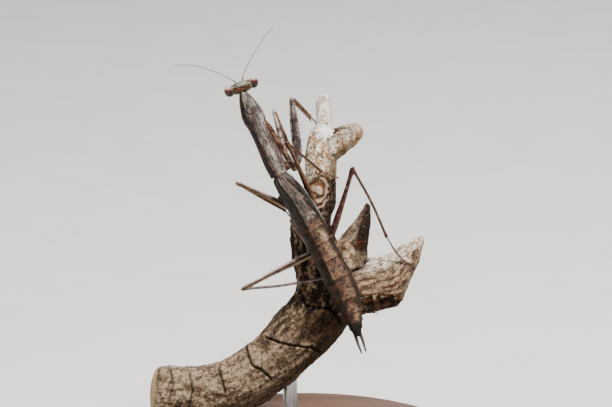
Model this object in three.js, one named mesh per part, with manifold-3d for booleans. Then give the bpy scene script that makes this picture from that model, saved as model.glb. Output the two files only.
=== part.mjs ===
// A praying mantis nymph clinging head up to a cut length of dead branch, on a plain display stand.
// Millimetres, +Z up. The origin is the centre of the stand's underside and -Y is the viewer's side.
// The animal and its perch are laid out in a pose frame: x to the viewer's right, y away from the
// viewer, z up along the trunk. POSE leans that frame back and lifts it over the stand.

import * as THREE from "three";
import { mergeVertices } from "three/addons/utils/BufferGeometryUtils.js";
import Module from "manifold-3d";

const wasm = await Module();
wasm.setup();

// ---- Driving dimensions ---------------------------------------------------------------------

const LEAN_BACK = 15; // degrees that the pose frame leans away from the viewer
const POSE_HEIGHT = 49; // of the pose frame's origin over the floor
const GAP = 0.1; // between plates, leg segments and other neighbours
const WOOD_GAP = 0.3; // between the perch's pieces and round the stand's rods

// The spine runs from the front of the pronotum to the tip of the abdomen.
const SPINE = [
  [-10.44, -1.5, 18.33],
  [-8.72, -1.35, 14.39],
  [-6.4, -1.1, 9.4],
  [-4.1, -0.8, 4.3],
  [-1.65, -0.5, 0.58],
  [0.3, -0.3, -2.72],
  [3.68, 0, -9.32],
  [6.44, 0, -15.92],
  [8.5, 0.3, -22.21],
];

// Profiles are pairs of a place along the spine and the value there.
const PRONOTUM_FRONT = 0.2;
const PRONOTUM_REAR = 14.9;
const PRONOTUM_HALF_WIDTH = [
  [0, 0.6],
  [1, 0.98],
  [2.6, 1.42],
  [4.3, 1.77],
  [6.2, 1.52],
  [7.4, 1.48],
  [11.7, 1.6],
  [13.5, 1.57],
  [14.9, 1.45],
];
const PRONOTUM_HALF_HEIGHT = [
  [0, 0.5],
  [2.6, 0.95],
  [4.3, 1.15],
  [7.4, 1.02],
  [14.9, 1.15],
];
const TRUNK_HALF_WIDTH = [
  [15.1, 1.55],
  [18.6, 1.9],
  [22.4, 2.18],
  [26.2, 2.27],
  [30, 2.2],
  [33.5, 2.36],
  [37.3, 2.45],
  [39.3, 2.2],
  [41.3, 1.72],
  [43.2, 1.13],
  [44.9, 0.38],
];
const TRUNK_HALF_HEIGHT = [
  [15.1, 1.35],
  [18.6, 1.75],
  [22.4, 1.93],
  [30, 1.8],
  [37.3, 1.83],
  [41.3, 1.25],
  [43.2, 0.8],
  [44.9, 0.3],
];
const SQUARENESS = 2.6; // of the trunk's section, where 2 is an ellipse
const ROLL = [
  [0, 6],
  [12, 10],
  [15, 16],
  [18, 27],
  [24, 30],
  [38, 26],
  [45, 20],
]; // degrees that the back turns towards the viewer's right

// Each ring of the trunk is a plate with its own front and rear along the spine.
const TRUNK_PLATES = [
  ["mesothorax", 15.3, 20],
  ["metathorax", 20, 23.7],
  ["abdomen_1", 23.7, 25.4],
  ["abdomen_2", 25.4, 28],
  ["abdomen_3", 28, 31.1],
  ["abdomen_4", 31.1, 34.6],
  ["abdomen_5", 34.6, 38.2],
  ["abdomen_6", 38.2, 40.6],
  ["abdomen_7", 40.6, 42.2],
  ["abdomen_8", 42.2, 43.4],
  ["abdomen_9", 43.4, 44.9],
];
const PLATE_FLARE = 0.035; // how much wider a plate's rear is than the next plate's front

// The wing pads lie flat on the back, between angles off the midline that open out to the rear.
const PAD_THICKNESS = 0.5;
const PAD_SEAT = 0.62; // how far the thorax steps in under the wing pads
const PAD_LIFT = 0.06; // how far the pads stand proud of the thorax
const PAD_OUTER = 54;
const WING_PADS = [
  { name: "wing_pad_fore", front: 16, rear: 20.6, innerFront: 10, innerRear: 26 },
  { name: "wing_pad_hind", front: 20.75, rear: 25.3, innerFront: 12, innerRear: 34 },
];

// The head's own frame: x to the animal's right, y forwards, z towards the crown.
const HEAD_PLACE = [-10.64, -1.35, 19.12];
const HEAD_TILT = 20.8; // degrees, right eye higher
const HEAD_PITCH = 9; // degrees that the mouth is tucked back under the neck
const HEAD_TOP = 1.0;
const HEAD_CHIN = -2.75;
const MOUTH_TIP = -3.6;
const EYE_PLACE = [2.12, 0.02, 0.05];
const EYE_RADII = [0.79, 0.93, 1.22];
const EYE_SPLAY = 14; // degrees that the eyes' tops lean outwards
const HEAD_HALF_WIDTH = [
  [HEAD_CHIN, 0.55],
  [-2.2, 0.85],
  [-1.2, 1.5],
  [-0.3, 2.05],
  [0.4, 2.15],
  [HEAD_TOP, 1.5],
]; // by height in the head's frame
const HEAD_HALF_DEPTH = [
  [HEAD_CHIN, 0.42],
  [-1.6, 0.72],
  [0, 0.93],
  [0.6, 0.85],
  [HEAD_TOP, 0.48],
];
const NECK_RADIUS = 0.52;

const ANTENNA_RADIUS = 0.25;
const ANTENNA_LEFT = [
  [-11.5, -2.3, 20.45],
  [-14.99, -2.5, 21.61],
  [-17.28, -2.5, 22.35],
  [-19.35, -2.5, 22.71],
  [-21.23, -2.5, 22.66],
];
const ANTENNA_RIGHT = [
  [-10.35, -2.3, 20.85],
  [-9.76, -2.5, 22.35],
  [-8.48, -3, 24.61],
  [-7.03, -3.5, 26.91],
  [-5.55, -4, 28.72],
];

const CERCUS_RADIUS = 0.26;
const CERCUS_RIGHT = [
  [9.35, 0.35, -21.3],
  [9.5, 0.4, -22.6],
  [9.91, 0.5, -24.29],
];
const CERCUS_LEFT = [
  [8.35, 0.45, -22.75],
  [8.76, 0.5, -23.5],
  [9.2, 0.5, -24.6],
];

// Leg joints, hip to toe. hipAlong, hipSide and hipDown place a walking leg's hip on the trunk, and
// shin is the middle of its slightly bowed tibia. flexed is the way in which a foreleg folds.
const FORELEGS = {
  right: {
    hip: [-6.75, 0.75, 13.3],
    trochanter: [-1.95, 2.5, 5.75],
    thigh: [-1.25, 2.85, 6.9],
    knee: [-2.4, 1.8, 17.3],
    ankle: [0.62, 5.2, 14.5],
    toe: [1.75, 7.7, 13.6],
    flexed: [1, 0, 0.12],
  },
  left: {
    hip: [-8.7, 0.95, 12.7],
    trochanter: [-3.25, 4.3, 5.9],
    thigh: [-3.0, 4.8, 6.9],
    knee: [-5.35, 1.95, 15.3],
    ankle: [-3.35, 5.4, 10.9],
    toe: [-2.3, 7.2, 9.3],
    flexed: [0.15, 1, 0.05],
  },
};
const FORE_COXA_RADIUS = 0.6;
const FORE_FEMUR_DEPTH = 1; // half the femur's depth in the plane in which the leg folds
const FORE_FEMUR_THICKNESS = 0.5;
const FORE_TIBIA_RADIUS = 0.4;
const FORE_CLAW_LENGTH = 1.2;

const WALKING_LEGS = {
  mid_right: {
    hipAlong: 18.4,
    hipSide: 1.1,
    hipDown: 2.55,
    thigh: [1.35, 2.3, 0.1],
    knee: [-3.12, -1.6, 9.93],
    shin: [-0.35, 1.65, 7.75],
    ankle: [2.45, 4.9, 5.42],
    foot: [[3.9, 5.1, 4.8]],
    toe: [5.25, 5.75, 4.3],
  },
  mid_left: {
    hipAlong: 18.2,
    hipSide: -0.9,
    hipDown: 2.35,
    thigh: [-1.6, 2.3, -1.2],
    knee: [-11.23, -1.8, 3.3],
    shin: [-7.35, 0.1, 0.95],
    ankle: [-3.5, 2.0, -1.15],
    foot: [[-2.5, 3.1, -2.3]],
    toe: [-1.2, 4.95, -4.0],
  },
  hind_right: {
    hipAlong: 22.9,
    hipSide: 1.3,
    hipDown: 2.9,
    thigh: [3.9, 2.7, -6.3],
    knee: [7.7, 0.4, 5.7],
    shin: [10.75, 1.7, 0.35],
    ankle: [13.37, 3.0, -5.5],
    foot: [
      [14.8, 3.7, -7.8],
      [16.3, 3.7, -9.5],
    ],
    toe: [18.0, 4.7, -10.5],
  },
  hind_left: {
    hipAlong: 22.6,
    hipSide: -1.1,
    hipDown: 2.6,
    thigh: [1.2, 2.6, -8.2],
    knee: [-10.4, 0.4, -14.1],
    shin: [-4.1, 2.0, -13.6],
    ankle: [2.1, 3.6, -12.5],
    foot: [[4.2, 3.9, -13.1]],
    toe: [6.2, 3.8, -14.6],
  },
};
const WALKING_COXA_RADIUS = 0.5;
const WALKING_FEMUR_RADIUS = { mid: 0.43, hind: 0.49 };
const WALKING_TIBIA_RADIUS = 0.27;
const TARSUS_RADIUS = 0.26;

// The perch: a dead branch that bends up into a broken trunk with two forks, a thorn and a stub.
const BRANCH_AXIS = [
  [-24.57, 9.2, -32.4],
  [-17.84, 9.2, -32.48],
  [-13.13, 9.2, -31.22],
  [-8.92, 9.2, -29.03],
  [-4.71, 9.2, -25.83],
  [-1.68, 9.2, -22.55],
  [1.25, 9.2, -19.6],
  [2.9, 9.1, -16.8],
  [3.1, 8.8, -13.2],
  [1.55, 8.3, -8.14],
  [0.84, 8, -3.61],
  [2.18, 8, 1.43],
  [2.52, 8.1, 5.29],
  [2.6, 8.2, 8.98],
  [3.0, 8.3, 13.3],
];
const BRANCH_RADIUS = [
  [0, 5.1],
  [0.36, 4.95],
  [0.45, 5.25],
  [0.53, 5.2],
  [0.61, 4.4],
  [0.7, 3.7],
  [0.77, 3.2],
  [0.84, 2.65],
  [0.94, 2.6],
  [0.98, 1.9],
  [1, 0.9],
]; // by share of the axis
const FORKS = {
  perch_fork_right: {
    axis: [
      [3.0, 8.2, 8.3],
      [6.3, 8.2, 10.55],
      [9.15, 8.2, 12.25],
    ],
    radius: [
      [0, 2.4],
      [0.5, 2.0],
      [0.9, 1.7],
      [1, 1.25],
    ],
  },
  perch_fork_back: {
    axis: [
      [2.6, 9.6, 6],
      [2.95, 13.7, 12.51],
      [3.1, 17.2, 18.5],
    ],
    radius: [
      [0, 1.8],
      [0.4, 1.38],
      [0.85, 1.3],
      [1, 0.75],
    ],
  },
  perch_thorn: {
    axis: [
      [7.6, 8.2, -11],
      [8.4, 7.6, -7.2],
      [9.35, 7.1, -3.5],
      [10.2, 6.7, -0.4],
    ],
    radius: [
      [0, 2.5],
      [0.35, 2.15],
      [0.7, 1.15],
      [1, 0.32],
    ],
  },
};
// The stub's sections stand across its length: place, then half height and half depth.
const STUB_AXIS = [
  [4.5, 9.2, -15.2],
  [9.0, 8.7, -14.3],
  [12.4, 8.2, -13.5],
  [14.92, 7.7, -12.83],
  [16.45, 7.4, -10.75],
  [18.25, 7.2, -8.46],
  [19.65, 7.2, -6.1],
];
const STUB_HALF_HEIGHT = [
  [0, 4.6],
  [0.3, 4.6],
  [0.55, 4.4],
  [0.68, 3.55],
  [0.79, 2.65],
  [0.9, 1.8],
  [1, 0.7],
];
const STUB_FLATNESS = 0.9; // the stub's depth against its height

const BASE_RADIUS = 32;
const BASE_HEIGHT = 5;
const BASE_EDGE = 1.2; // radius of the rounded upper edge
const BASE_FOOT = 0.4; // bevel round the underside
const ROD_RADIUS = 1.25;
const ROD_PLACES = [-13.6, -2.7]; // along x
const ROD_FOOT = 2; // height of the sockets' floor in the base
const ROD_BITE = 1.6; // how far below the branch's axis the rods end

// ---- Frames and profiles --------------------------------------------------------------------

const vector = ([x, y, z]) => new THREE.Vector3(x, y, z);
const radians = THREE.MathUtils.degToRad;
const TOWARDS_VIEWER = new THREE.Vector3(0, -1, 0.01);
const curveThrough = (places) => new THREE.CatmullRomCurve3(places.map(vector));

// A smooth function through pairs of a place and a value.
function profile(pairs) {
  const places = pairs.map((pair) => pair[0]);
  const values = pairs.map((pair) => pair[1]);
  const curve = new THREE.CubicInterpolant(places, values, 1);
  return (place) => {
    const held = THREE.MathUtils.clamp(place, places[0], places.at(-1));
    return curve.evaluate(held)[0];
  };
}

const POSE = new THREE.Matrix4()
  .makeTranslation(0, 0, POSE_HEIGHT)
  .multiply(new THREE.Matrix4().makeRotationX(-radians(LEAN_BACK)));

const spine = curveThrough(SPINE);
const SPINE_LENGTH = spine.getLength();
const roll = profile(ROLL);

// The trunk's own axes at a place along the spine: towards the tail, the animal's right and back.
function bodyFrame(along) {
  const share = THREE.MathUtils.clamp(along / SPINE_LENGTH, 0, 1);
  const tail = spine.getTangentAt(share);
  const level = tail.clone().cross(new THREE.Vector3(0, -1, 0)).normalize().negate();
  const right = level.applyAxisAngle(tail, -radians(roll(along)));
  const back = tail.clone().cross(right);
  return { centre: spine.getPointAt(share), tail, right, back };
}

function bodyPoint(along, side, up) {
  const { centre, right, back } = bodyFrame(along);
  return centre.addScaledVector(right, side).addScaledVector(back, up);
}

// ---- Solids ---------------------------------------------------------------------------------

// A point of the unit circle moved out onto a squared one.
function squared(x, z, squareness) {
  const reach = (Math.abs(x) ** squareness + Math.abs(z) ** squareness) ** (1 / squareness);
  return reach > 0.5 ? [x / reach, z / reach] : [x, z];
}

// A closed tube. section(t), for t from 0 to 1, gives each ring's centre, the direction in which the
// tube runs, a direction across it, its half width that way and its half height the other way, and
// it may give an inset in each direction round the ring.
function loft(section, rings, sides, squareness = 2) {
  const geometry = new THREE.CylinderGeometry(1, 1, 1, sides, rings);
  const position = geometry.attributes.position;
  for (let i = 0; i < position.count; i++) {
    const ring = section(0.5 - position.getY(i));
    const tangent = ring.tangent.clone().normalize();
    const across = ring.across.clone().projectOnPlane(tangent).normalize();
    const above = tangent.clone().cross(across);
    const [x, z] = squared(position.getX(i), position.getZ(i), squareness);
    const inset = ring.inset ? ring.inset(x, z) : 0;
    const point = ring.centre
      .clone()
      .addScaledVector(across, x * (ring.width - inset))
      .addScaledVector(above, z * (ring.height - inset));
    position.setXYZ(i, point.x, point.y, point.z);
  }
  return geometry;
}

// Draws the ends of a tube in to a rounded tip: 1 along its length, less in the last stretches.
function rounding(t, stretch, tip = 0.45) {
  const near = Math.min(t, 1 - t) / stretch;
  return near >= 1 ? 1 : tip + (1 - tip) * Math.sqrt(1 - (1 - near) ** 2);
}

// A round or oval tube along a curve. wide is the direction in which it is ratio times as thick,
// and longer is how far it runs on past both ends of the curve.
function tube(curve, radius, rings, sides, { wide = TOWARDS_VIEWER, ratio = 1, longer = 0 } = {}) {
  const section = (t) => {
    const tangent = curve.getTangentAt(t);
    const past = t === 0 ? -longer : t === 1 ? longer : 0;
    return {
      centre: curve.getPointAt(t).addScaledVector(tangent, past),
      tangent,
      across: wide,
      width: radius(t) * ratio,
      height: radius(t),
    };
  };
  return loft(section, rings, sides);
}

// A geometry as a manifold solid, and back.
function solidOf(geometry) {
  const bare = geometry.clone();
  bare.deleteAttribute("normal");
  bare.deleteAttribute("uv");
  const merged = mergeVertices(bare, 1e-4);
  return new wasm.Manifold(
    new wasm.Mesh({
      numProp: 3,
      vertProperties: new Float32Array(merged.attributes.position.array),
      triVerts: new Uint32Array(merged.index.array),
    }),
  );
}

function geometryOf(solid) {
  const mesh = solid.getMesh();
  const geometry = new THREE.BufferGeometry();
  geometry.setAttribute("position", new THREE.BufferAttribute(mesh.vertProperties, 3));
  geometry.setIndex(new THREE.BufferAttribute(mesh.triVerts, 1));
  geometry.computeVertexNormals();
  return geometry;
}

// The geometry with the tools cut away. A sliver left loose by the cut is dropped.
function cut(geometry, ...tools) {
  const left = tools.reduce((solid, tool) => solid.subtract(solidOf(tool)), solidOf(geometry));
  const bodies = left.decompose().sort((a, b) => b.volume() - a.volume());
  return geometryOf(bodies[0]);
}

const finish = (color, roughness, metalness = 0) =>
  new THREE.MeshStandardMaterial({ color, roughness, metalness });
const MATERIALS = {
  shell: finish(0x6b5a54, 0.55),
  shellDark: finish(0x3f2e2a, 0.6),
  abdomen: finish(0x6a5245, 0.6),
  membrane: finish(0x8a5a34, 0.7),
  eye: finish(0x7a4a32, 0.25),
  leg: finish(0x6d4c45, 0.5),
  bark: finish(0xb29a80, 0.9),
  wood: finish(0x4a3022, 0.45),
  steel: finish(0xb8babd, 0.3, 1),
};

function named(name, geometry, material) {
  const mesh = new THREE.Mesh(geometry, material);
  mesh.name = name;
  return mesh;
}

// ---- Trunk ----------------------------------------------------------------------------------

const pronotumHalfWidth = profile(PRONOTUM_HALF_WIDTH);
const pronotumHalfHeight = profile(PRONOTUM_HALF_HEIGHT);
const trunkHalfWidth = profile(TRUNK_HALF_WIDTH);
const trunkHalfHeight = profile(TRUNK_HALF_HEIGHT);

function neckTube(extra) {
  const path = curveThrough([
    bodyPoint(1.7, 0, -0.25).toArray(),
    bodyPoint(0.4, 0, -0.45).toArray(),
    bodyPoint(0, 0, -0.75).add(new THREE.Vector3(-0.15, 0, 0.55)).toArray(),
  ]);
  return tube(path, () => NECK_RADIUS + extra, 4, 10, { longer: extra });
}

function makePronotum() {
  const body = loft(
    (t) => {
      const along = THREE.MathUtils.lerp(PRONOTUM_FRONT, PRONOTUM_REAR, t);
      const frame = bodyFrame(along);
      return {
        centre: frame.centre,
        tangent: frame.tail,
        across: frame.right,
        width: pronotumHalfWidth(along) * rounding(t, 0.03, 0.7),
        height: pronotumHalfHeight(along) * rounding(t, 0.03, 0.7),
      };
    },
    14,
    18,
    2.3,
  );
  return named("pronotum", cut(body, neckTube(GAP)), MATERIALS.shell);
}

// How far the trunk steps in under the wing pads, in each direction round it.
function padSeat(x, z) {
  const angle = THREE.MathUtils.radToDeg(Math.atan2(Math.abs(x), z));
  return PAD_SEAT * (1 - THREE.MathUtils.smoothstep(angle, PAD_OUTER + 6, PAD_OUTER + 30));
}

// A ring of the trunk, each a little wider at its rear than the next one's front.
function makeTrunkPlate([name, front, rear]) {
  const flare = name === TRUNK_PLATES.at(-1)[0] ? 0 : PLATE_FLARE;
  const underPads = front < WING_PADS.at(-1).rear;
  const section = (t) => {
    const along = THREE.MathUtils.lerp(front + GAP / 2, rear - GAP / 2, t);
    const frame = bodyFrame(along);
    const swell = 1 + flare * (t - 0.5);
    return {
      centre: frame.centre,
      tangent: frame.tail,
      across: frame.right,
      width: trunkHalfWidth(along) * swell,
      height: trunkHalfHeight(along) * swell,
      inset: underPads && padSeat,
    };
  };
  const geometry = loft(section, 3, 18, SQUARENESS);
  return named(name, geometry, name.startsWith("abdomen") ? MATERIALS.abdomen : MATERIALS.shellDark);
}

// A curved plate on the trunk's back, from one angle off the midline to another.
function makeWingPad(pad, side) {
  const geometry = new THREE.BoxGeometry(1, 1, 1, 4, 1, 4);
  const position = geometry.attributes.position;
  for (let i = 0; i < position.count; i++) {
    const backwards = position.getZ(i) + 0.5;
    const outwards = side * position.getX(i) + 0.5;
    const along = THREE.MathUtils.lerp(pad.front, pad.rear, backwards);
    const inner = THREE.MathUtils.lerp(pad.innerFront, pad.innerRear, backwards);
    const angle = side * radians(THREE.MathUtils.lerp(inner, PAD_OUTER, outwards));
    const depth = (0.5 - position.getY(i)) * PAD_THICKNESS - PAD_LIFT;
    const [x, z] = squared(Math.sin(angle), Math.cos(angle), SQUARENESS);
    const { centre, right, back } = bodyFrame(along);
    const point = centre
      .addScaledVector(right, x * (trunkHalfWidth(along) - depth))
      .addScaledVector(back, z * (trunkHalfHeight(along) - depth));
    position.setXYZ(i, point.x, point.y, point.z);
  }
  return named(`${pad.name}_${side > 0 ? "right" : "left"}`, geometry, MATERIALS.shell);
}

function makeCercus(name, places) {
  const radius = (t) => CERCUS_RADIUS * rounding(t, 0.2, 0.8);
  return named(name, tube(curveThrough(places), radius, 4, 6), MATERIALS.shellDark);
}

// ---- Head -----------------------------------------------------------------------------------

const headHalfWidth = profile(HEAD_HALF_WIDTH);
const headHalfDepth = profile(HEAD_HALF_DEPTH);

function eyeball(side, extra) {
  const [x, y, z] = EYE_RADII.map((radius) => radius + extra);
  const geometry = new THREE.SphereGeometry(1, 12, 9);
  geometry.scale(x, y, z);
  geometry.rotateY(radians(side * EYE_SPLAY));
  return geometry.translate(side * EYE_PLACE[0], EYE_PLACE[1], EYE_PLACE[2]);
}

function headSection(z) {
  return {
    centre: new THREE.Vector3(0, 0, z),
    tangent: new THREE.Vector3(0, 0, -1),
    across: new THREE.Vector3(1, 0, 0),
    width: headHalfWidth(z),
    height: headHalfDepth(z),
  };
}

function makeHead() {
  const head = new THREE.Group();
  head.position.set(...HEAD_PLACE);
  const turn = new THREE.Matrix4()
    .makeRotationY(-radians(HEAD_TILT))
    .multiply(new THREE.Matrix4().makeRotationX(radians(90 - HEAD_PITCH)));
  head.quaternion.setFromRotationMatrix(turn);
  head.updateMatrix();
  const skull = loft((t) => headSection(THREE.MathUtils.lerp(HEAD_TOP, HEAD_CHIN, t)), 8, 16, 2.4);
  const neck = neckTube(GAP).applyMatrix4(head.matrix.clone().invert());
  const capsule = cut(skull, eyeball(-1, GAP), eyeball(1, GAP), neck);
  head.add(named("head", capsule, MATERIALS.shell));
  const mouth = loft(
    (t) => ({
      ...headSection(THREE.MathUtils.lerp(HEAD_CHIN - GAP, MOUTH_TIP, t)),
      width: 0.55 - 0.27 * t,
      height: 0.42 - 0.12 * t,
    }),
    4,
    10,
  );
  head.add(named("mouthparts", mouth, MATERIALS.shellDark));
  head.add(named("eye_left", eyeball(-1, 0), MATERIALS.eye));
  head.add(named("eye_right", eyeball(1, 0), MATERIALS.eye));
  return head;
}

function makeAntenna(name, places) {
  const radius = (t) => ANTENNA_RADIUS * rounding(t, 0.05, 0.8);
  return named(name, tube(curveThrough(places), radius, 8, 6), MATERIALS.leg);
}

// ---- Legs -----------------------------------------------------------------------------------

// A straight segment between two joints, drawn back from each by the joint gap. extra makes it the
// tool that keeps a neighbour clear of it.
function segment(from, to, radius, rings, sides, shape = {}, extra = 0) {
  const run = to.clone().sub(from).normalize();
  const start = from.clone().addScaledVector(run, GAP);
  const end = to.clone().addScaledVector(run, -GAP);
  const line = new THREE.LineCurve3(start, end);
  return tube(line, (t) => radius(t) + extra, rings, sides, { ...shape, longer: extra });
}

// A tarsus: five joints in a row, each a little thicker at its end, ending in a claw.
function tarsus(places) {
  const knobs = (t) => TARSUS_RADIUS * (0.9 + 0.1 * Math.abs(Math.sin(5 * Math.PI * t)));
  return tube(new THREE.CatmullRomCurve3(places), knobs, 8, 6);
}

function makeForeleg(side, joints) {
  const at = Object.fromEntries(Object.entries(joints).map(([key, place]) => [key, vector(place)]));
  const blade = { wide: at.flexed, ratio: FORE_FEMUR_DEPTH / FORE_FEMUR_THICKNESS };
  const shin = { wide: at.flexed, ratio: 1.25 };
  const coxaRadius = (t) => FORE_COXA_RADIUS * (1.12 - 0.3 * t) * rounding(t, 0.12);
  const femurRadius = (t) => FORE_FEMUR_THICKNESS * foreFemurSwell(t) * rounding(t, 0.06, 0.6);
  const tibiaRadius = (t) => FORE_TIBIA_RADIUS * (1 - 0.25 * t) * rounding(t, 0.1);
  const run = at.ankle.clone().sub(at.knee).normalize();
  const hook = new THREE.Vector3(-0.35, 0.1, -0.75).setLength(FORE_CLAW_LENGTH * 0.5);
  const clawRoot = at.ankle.clone().addScaledVector(run, -0.5);
  const clawTip = at.ankle.clone().addScaledVector(run, FORE_CLAW_LENGTH * 0.6).add(hook);
  const clawLine = new THREE.LineCurve3(clawRoot, clawTip);
  const claw = (extra) => tube(clawLine, (t) => 0.3 - 0.05 * t + extra, 2, 6, { longer: extra });
  const shaft = (extra) => segment(at.knee, at.ankle, tibiaRadius, 6, 8, shin, extra);
  const femur = (extra) => segment(at.thigh, at.knee, femurRadius, 8, 10, blade, extra);
  const foot = at.ankle.clone().addScaledVector(run, -0.9);
  const outwards = at.toe.clone().sub(foot).normalize();
  foot.addScaledVector(outwards, FORE_TIBIA_RADIUS + GAP);
  const sole = tarsus([foot, foot.clone().lerp(at.toe, 0.5), at.toe]);
  const tibia = geometryOf(solidOf(shaft(0)).add(solidOf(claw(0))));
  const coxa = segment(at.hip, at.trochanter, coxaRadius, 5, 8);
  return [
    named(`fore_coxa_${side}`, coxa, MATERIALS.leg),
    named(`fore_femur_${side}`, femur(0), MATERIALS.leg),
    named(`fore_tibia_${side}`, cut(tibia, femur(GAP)), MATERIALS.leg),
    named(`fore_tarsus_${side}`, cut(sole, shaft(GAP), claw(GAP)), MATERIALS.leg),
  ];
}

// The fore femur is narrow at the hip, swells over its spines and narrows again to the knee.
function foreFemurSwell(t) {
  const belly = Math.sin(Math.PI * Math.min(1, t * 1.15) ** 0.8);
  return 0.6 + 0.4 * Math.max(0, belly) ** 0.6;
}

function makeWalkingLeg(key, joints) {
  const [pair, side] = key.split("_");
  const hip = bodyPoint(joints.hipAlong, joints.hipSide, -joints.hipDown);
  const [thigh, knee, shin, ankle, toe] = ["thigh", "knee", "shin", "ankle", "toe"].map((place) =>
    vector(joints[place]),
  );
  const bends = joints.foot.map(vector);
  const femurRadius = (t) => WALKING_FEMUR_RADIUS[pair] * (1.1 - 0.3 * t) * rounding(t, 0.05, 0.7);
  const tibiaRadius = (t) => WALKING_TIBIA_RADIUS * (1 + 0.25 * (1 - t) ** 4) * rounding(t, 0.03, 0.8);
  const coxaRadius = (t) => WALKING_COXA_RADIUS * (1.1 - 0.25 * t) * rounding(t, 0.2);
  const femur = (extra) => segment(thigh, knee, femurRadius, 6, 8, {}, extra);
  const coxa = segment(hip, thigh, coxaRadius, 4, 8);
  const lastShin = ankle.clone().lerp(shin, 0.02);
  const tibia = tube(new THREE.CatmullRomCurve3([knee, shin, lastShin]), tibiaRadius, 7, 6);
  const start = ankle.clone().lerp(bends[0], 0.12);
  return [
    named(`${pair}_coxa_${side}`, cut(coxa, femur(GAP)), MATERIALS.leg),
    named(`${pair}_femur_${side}`, femur(0), MATERIALS.leg),
    named(`${pair}_tibia_${side}`, cut(tibia, femur(GAP)), MATERIALS.leg),
    named(`${pair}_tarsus_${side}`, tarsus([start, ...bends, toe]), MATERIALS.leg),
  ];
}

// ---- Perch ----------------------------------------------------------------------------------

const branchAxis = curveThrough(BRANCH_AXIS);
const branchRadius = profile(BRANCH_RADIUS);
const UPRIGHT = new THREE.Vector3(0, 1, 0);

function branchTube(extra) {
  const radius = (t) => branchRadius(t) + extra;
  return tube(branchAxis, radius, 21, 15, { wide: UPRIGHT, longer: extra });
}

function stubTube(extra) {
  const axis = curveThrough(STUB_AXIS);
  const halfHeight = profile(STUB_HALF_HEIGHT);
  return loft(
    (t) => ({
      centre: axis.getPoint(t),
      tangent: new THREE.Vector3(1, 0, 0.12),
      across: UPRIGHT,
      width: halfHeight(t) * STUB_FLATNESS + extra,
      height: halfHeight(t) + extra,
    }),
    7,
    14,
  );
}

function forkTube(fork, extra) {
  const radius = profile(fork.radius);
  return tube(curveThrough(fork.axis), (t) => radius(t) + extra, 5, 11, { wide: UPRIGHT });
}

// The point of the branch's axis over a place along x, in the part's frame.
function branchOver(x) {
  let low = 0;
  let high = 0.5;
  for (let i = 0; i < 30; i++) {
    const middle = (low + high) / 2;
    if (branchAxis.getPointAt(middle).x < x) low = middle;
    else high = middle;
  }
  return branchAxis.getPointAt(low).applyMatrix4(POSE);
}

function rodCylinder(x, extra) {
  const top = branchOver(x);
  const height = top.z - ROD_BITE - ROD_FOOT + 2 * extra;
  const geometry = new THREE.CylinderGeometry(ROD_RADIUS + extra, ROD_RADIUS + extra, height, 14);
  geometry.rotateX(Math.PI / 2);
  return geometry.translate(x, top.y, ROD_FOOT - extra + height / 2);
}

function makePerch() {
  const unpose = POSE.clone().invert();
  const drills = ROD_PLACES.map((x) => rodCylinder(x, WOOD_GAP).applyMatrix4(unpose));
  const branch = named("perch_branch", cut(branchTube(0), ...drills), MATERIALS.bark);
  const grownBranch = branchTube(WOOD_GAP);
  const stub = named("perch_stub", cut(stubTube(0), grownBranch), MATERIALS.bark);
  const forks = Object.entries(FORKS).map(([name, fork]) => {
    const tools = name === "perch_thorn" ? [grownBranch, stubTube(WOOD_GAP)] : [grownBranch];
    if (name === "perch_fork_back") tools.push(forkTube(FORKS.perch_fork_right, WOOD_GAP));
    return named(name, cut(forkTube(fork, 0), ...tools), MATERIALS.bark);
  });
  return [branch, stub, ...forks];
}

// ---- Stand ----------------------------------------------------------------------------------

function makeStand() {
  const outline = new THREE.Path();
  outline.moveTo(0, 0);
  outline.lineTo(BASE_RADIUS - BASE_FOOT, 0);
  outline.lineTo(BASE_RADIUS, BASE_FOOT);
  outline.lineTo(BASE_RADIUS, BASE_HEIGHT - BASE_EDGE);
  outline.absarc(BASE_RADIUS - BASE_EDGE, BASE_HEIGHT - BASE_EDGE, BASE_EDGE, 0, Math.PI / 2);
  outline.lineTo(0, BASE_HEIGHT);
  const disc = new THREE.LatheGeometry(outline.getPoints(2), 32);
  disc.rotateX(Math.PI / 2);
  const sockets = ROD_PLACES.map((x) => rodCylinder(x, GAP));
  const rods = ROD_PLACES.map((x, i) => named(`stand_rod_${i + 1}`, rodCylinder(x, 0), MATERIALS.steel));
  return [named("stand_base", cut(disc, ...sockets), MATERIALS.wood), ...rods];
}

// ---- The whole ------------------------------------------------------------------------------

const posed = new THREE.Group();
posed.applyMatrix4(POSE);
posed.add(makeHead());
posed.add(named("neck", neckTube(0), MATERIALS.membrane));
posed.add(makeAntenna("antenna_left", ANTENNA_LEFT));
posed.add(makeAntenna("antenna_right", ANTENNA_RIGHT));
posed.add(makePronotum());
posed.add(...TRUNK_PLATES.map(makeTrunkPlate));
posed.add(...WING_PADS.flatMap((pad) => [makeWingPad(pad, -1), makeWingPad(pad, 1)]));
posed.add(makeCercus("cercus_left", CERCUS_LEFT), makeCercus("cercus_right", CERCUS_RIGHT));
for (const [side, joints] of Object.entries(FORELEGS)) posed.add(...makeForeleg(side, joints));
for (const [key, joints] of Object.entries(WALKING_LEGS)) posed.add(...makeWalkingLeg(key, joints));
posed.add(...makePerch());

const group = new THREE.Group();
group.add(posed, ...makeStand());

export default group;
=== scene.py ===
# A praying mantis nymph that clings, head up, to a cut length of dead branch on a plain stand.
#
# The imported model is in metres. The sizes here are millimetres in the pose frame, where x runs to
# the viewer's right, y away from the viewer and z up along the trunk. to_frame() leans that frame
# back, lifts it over the stand and turns it into metres.

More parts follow.
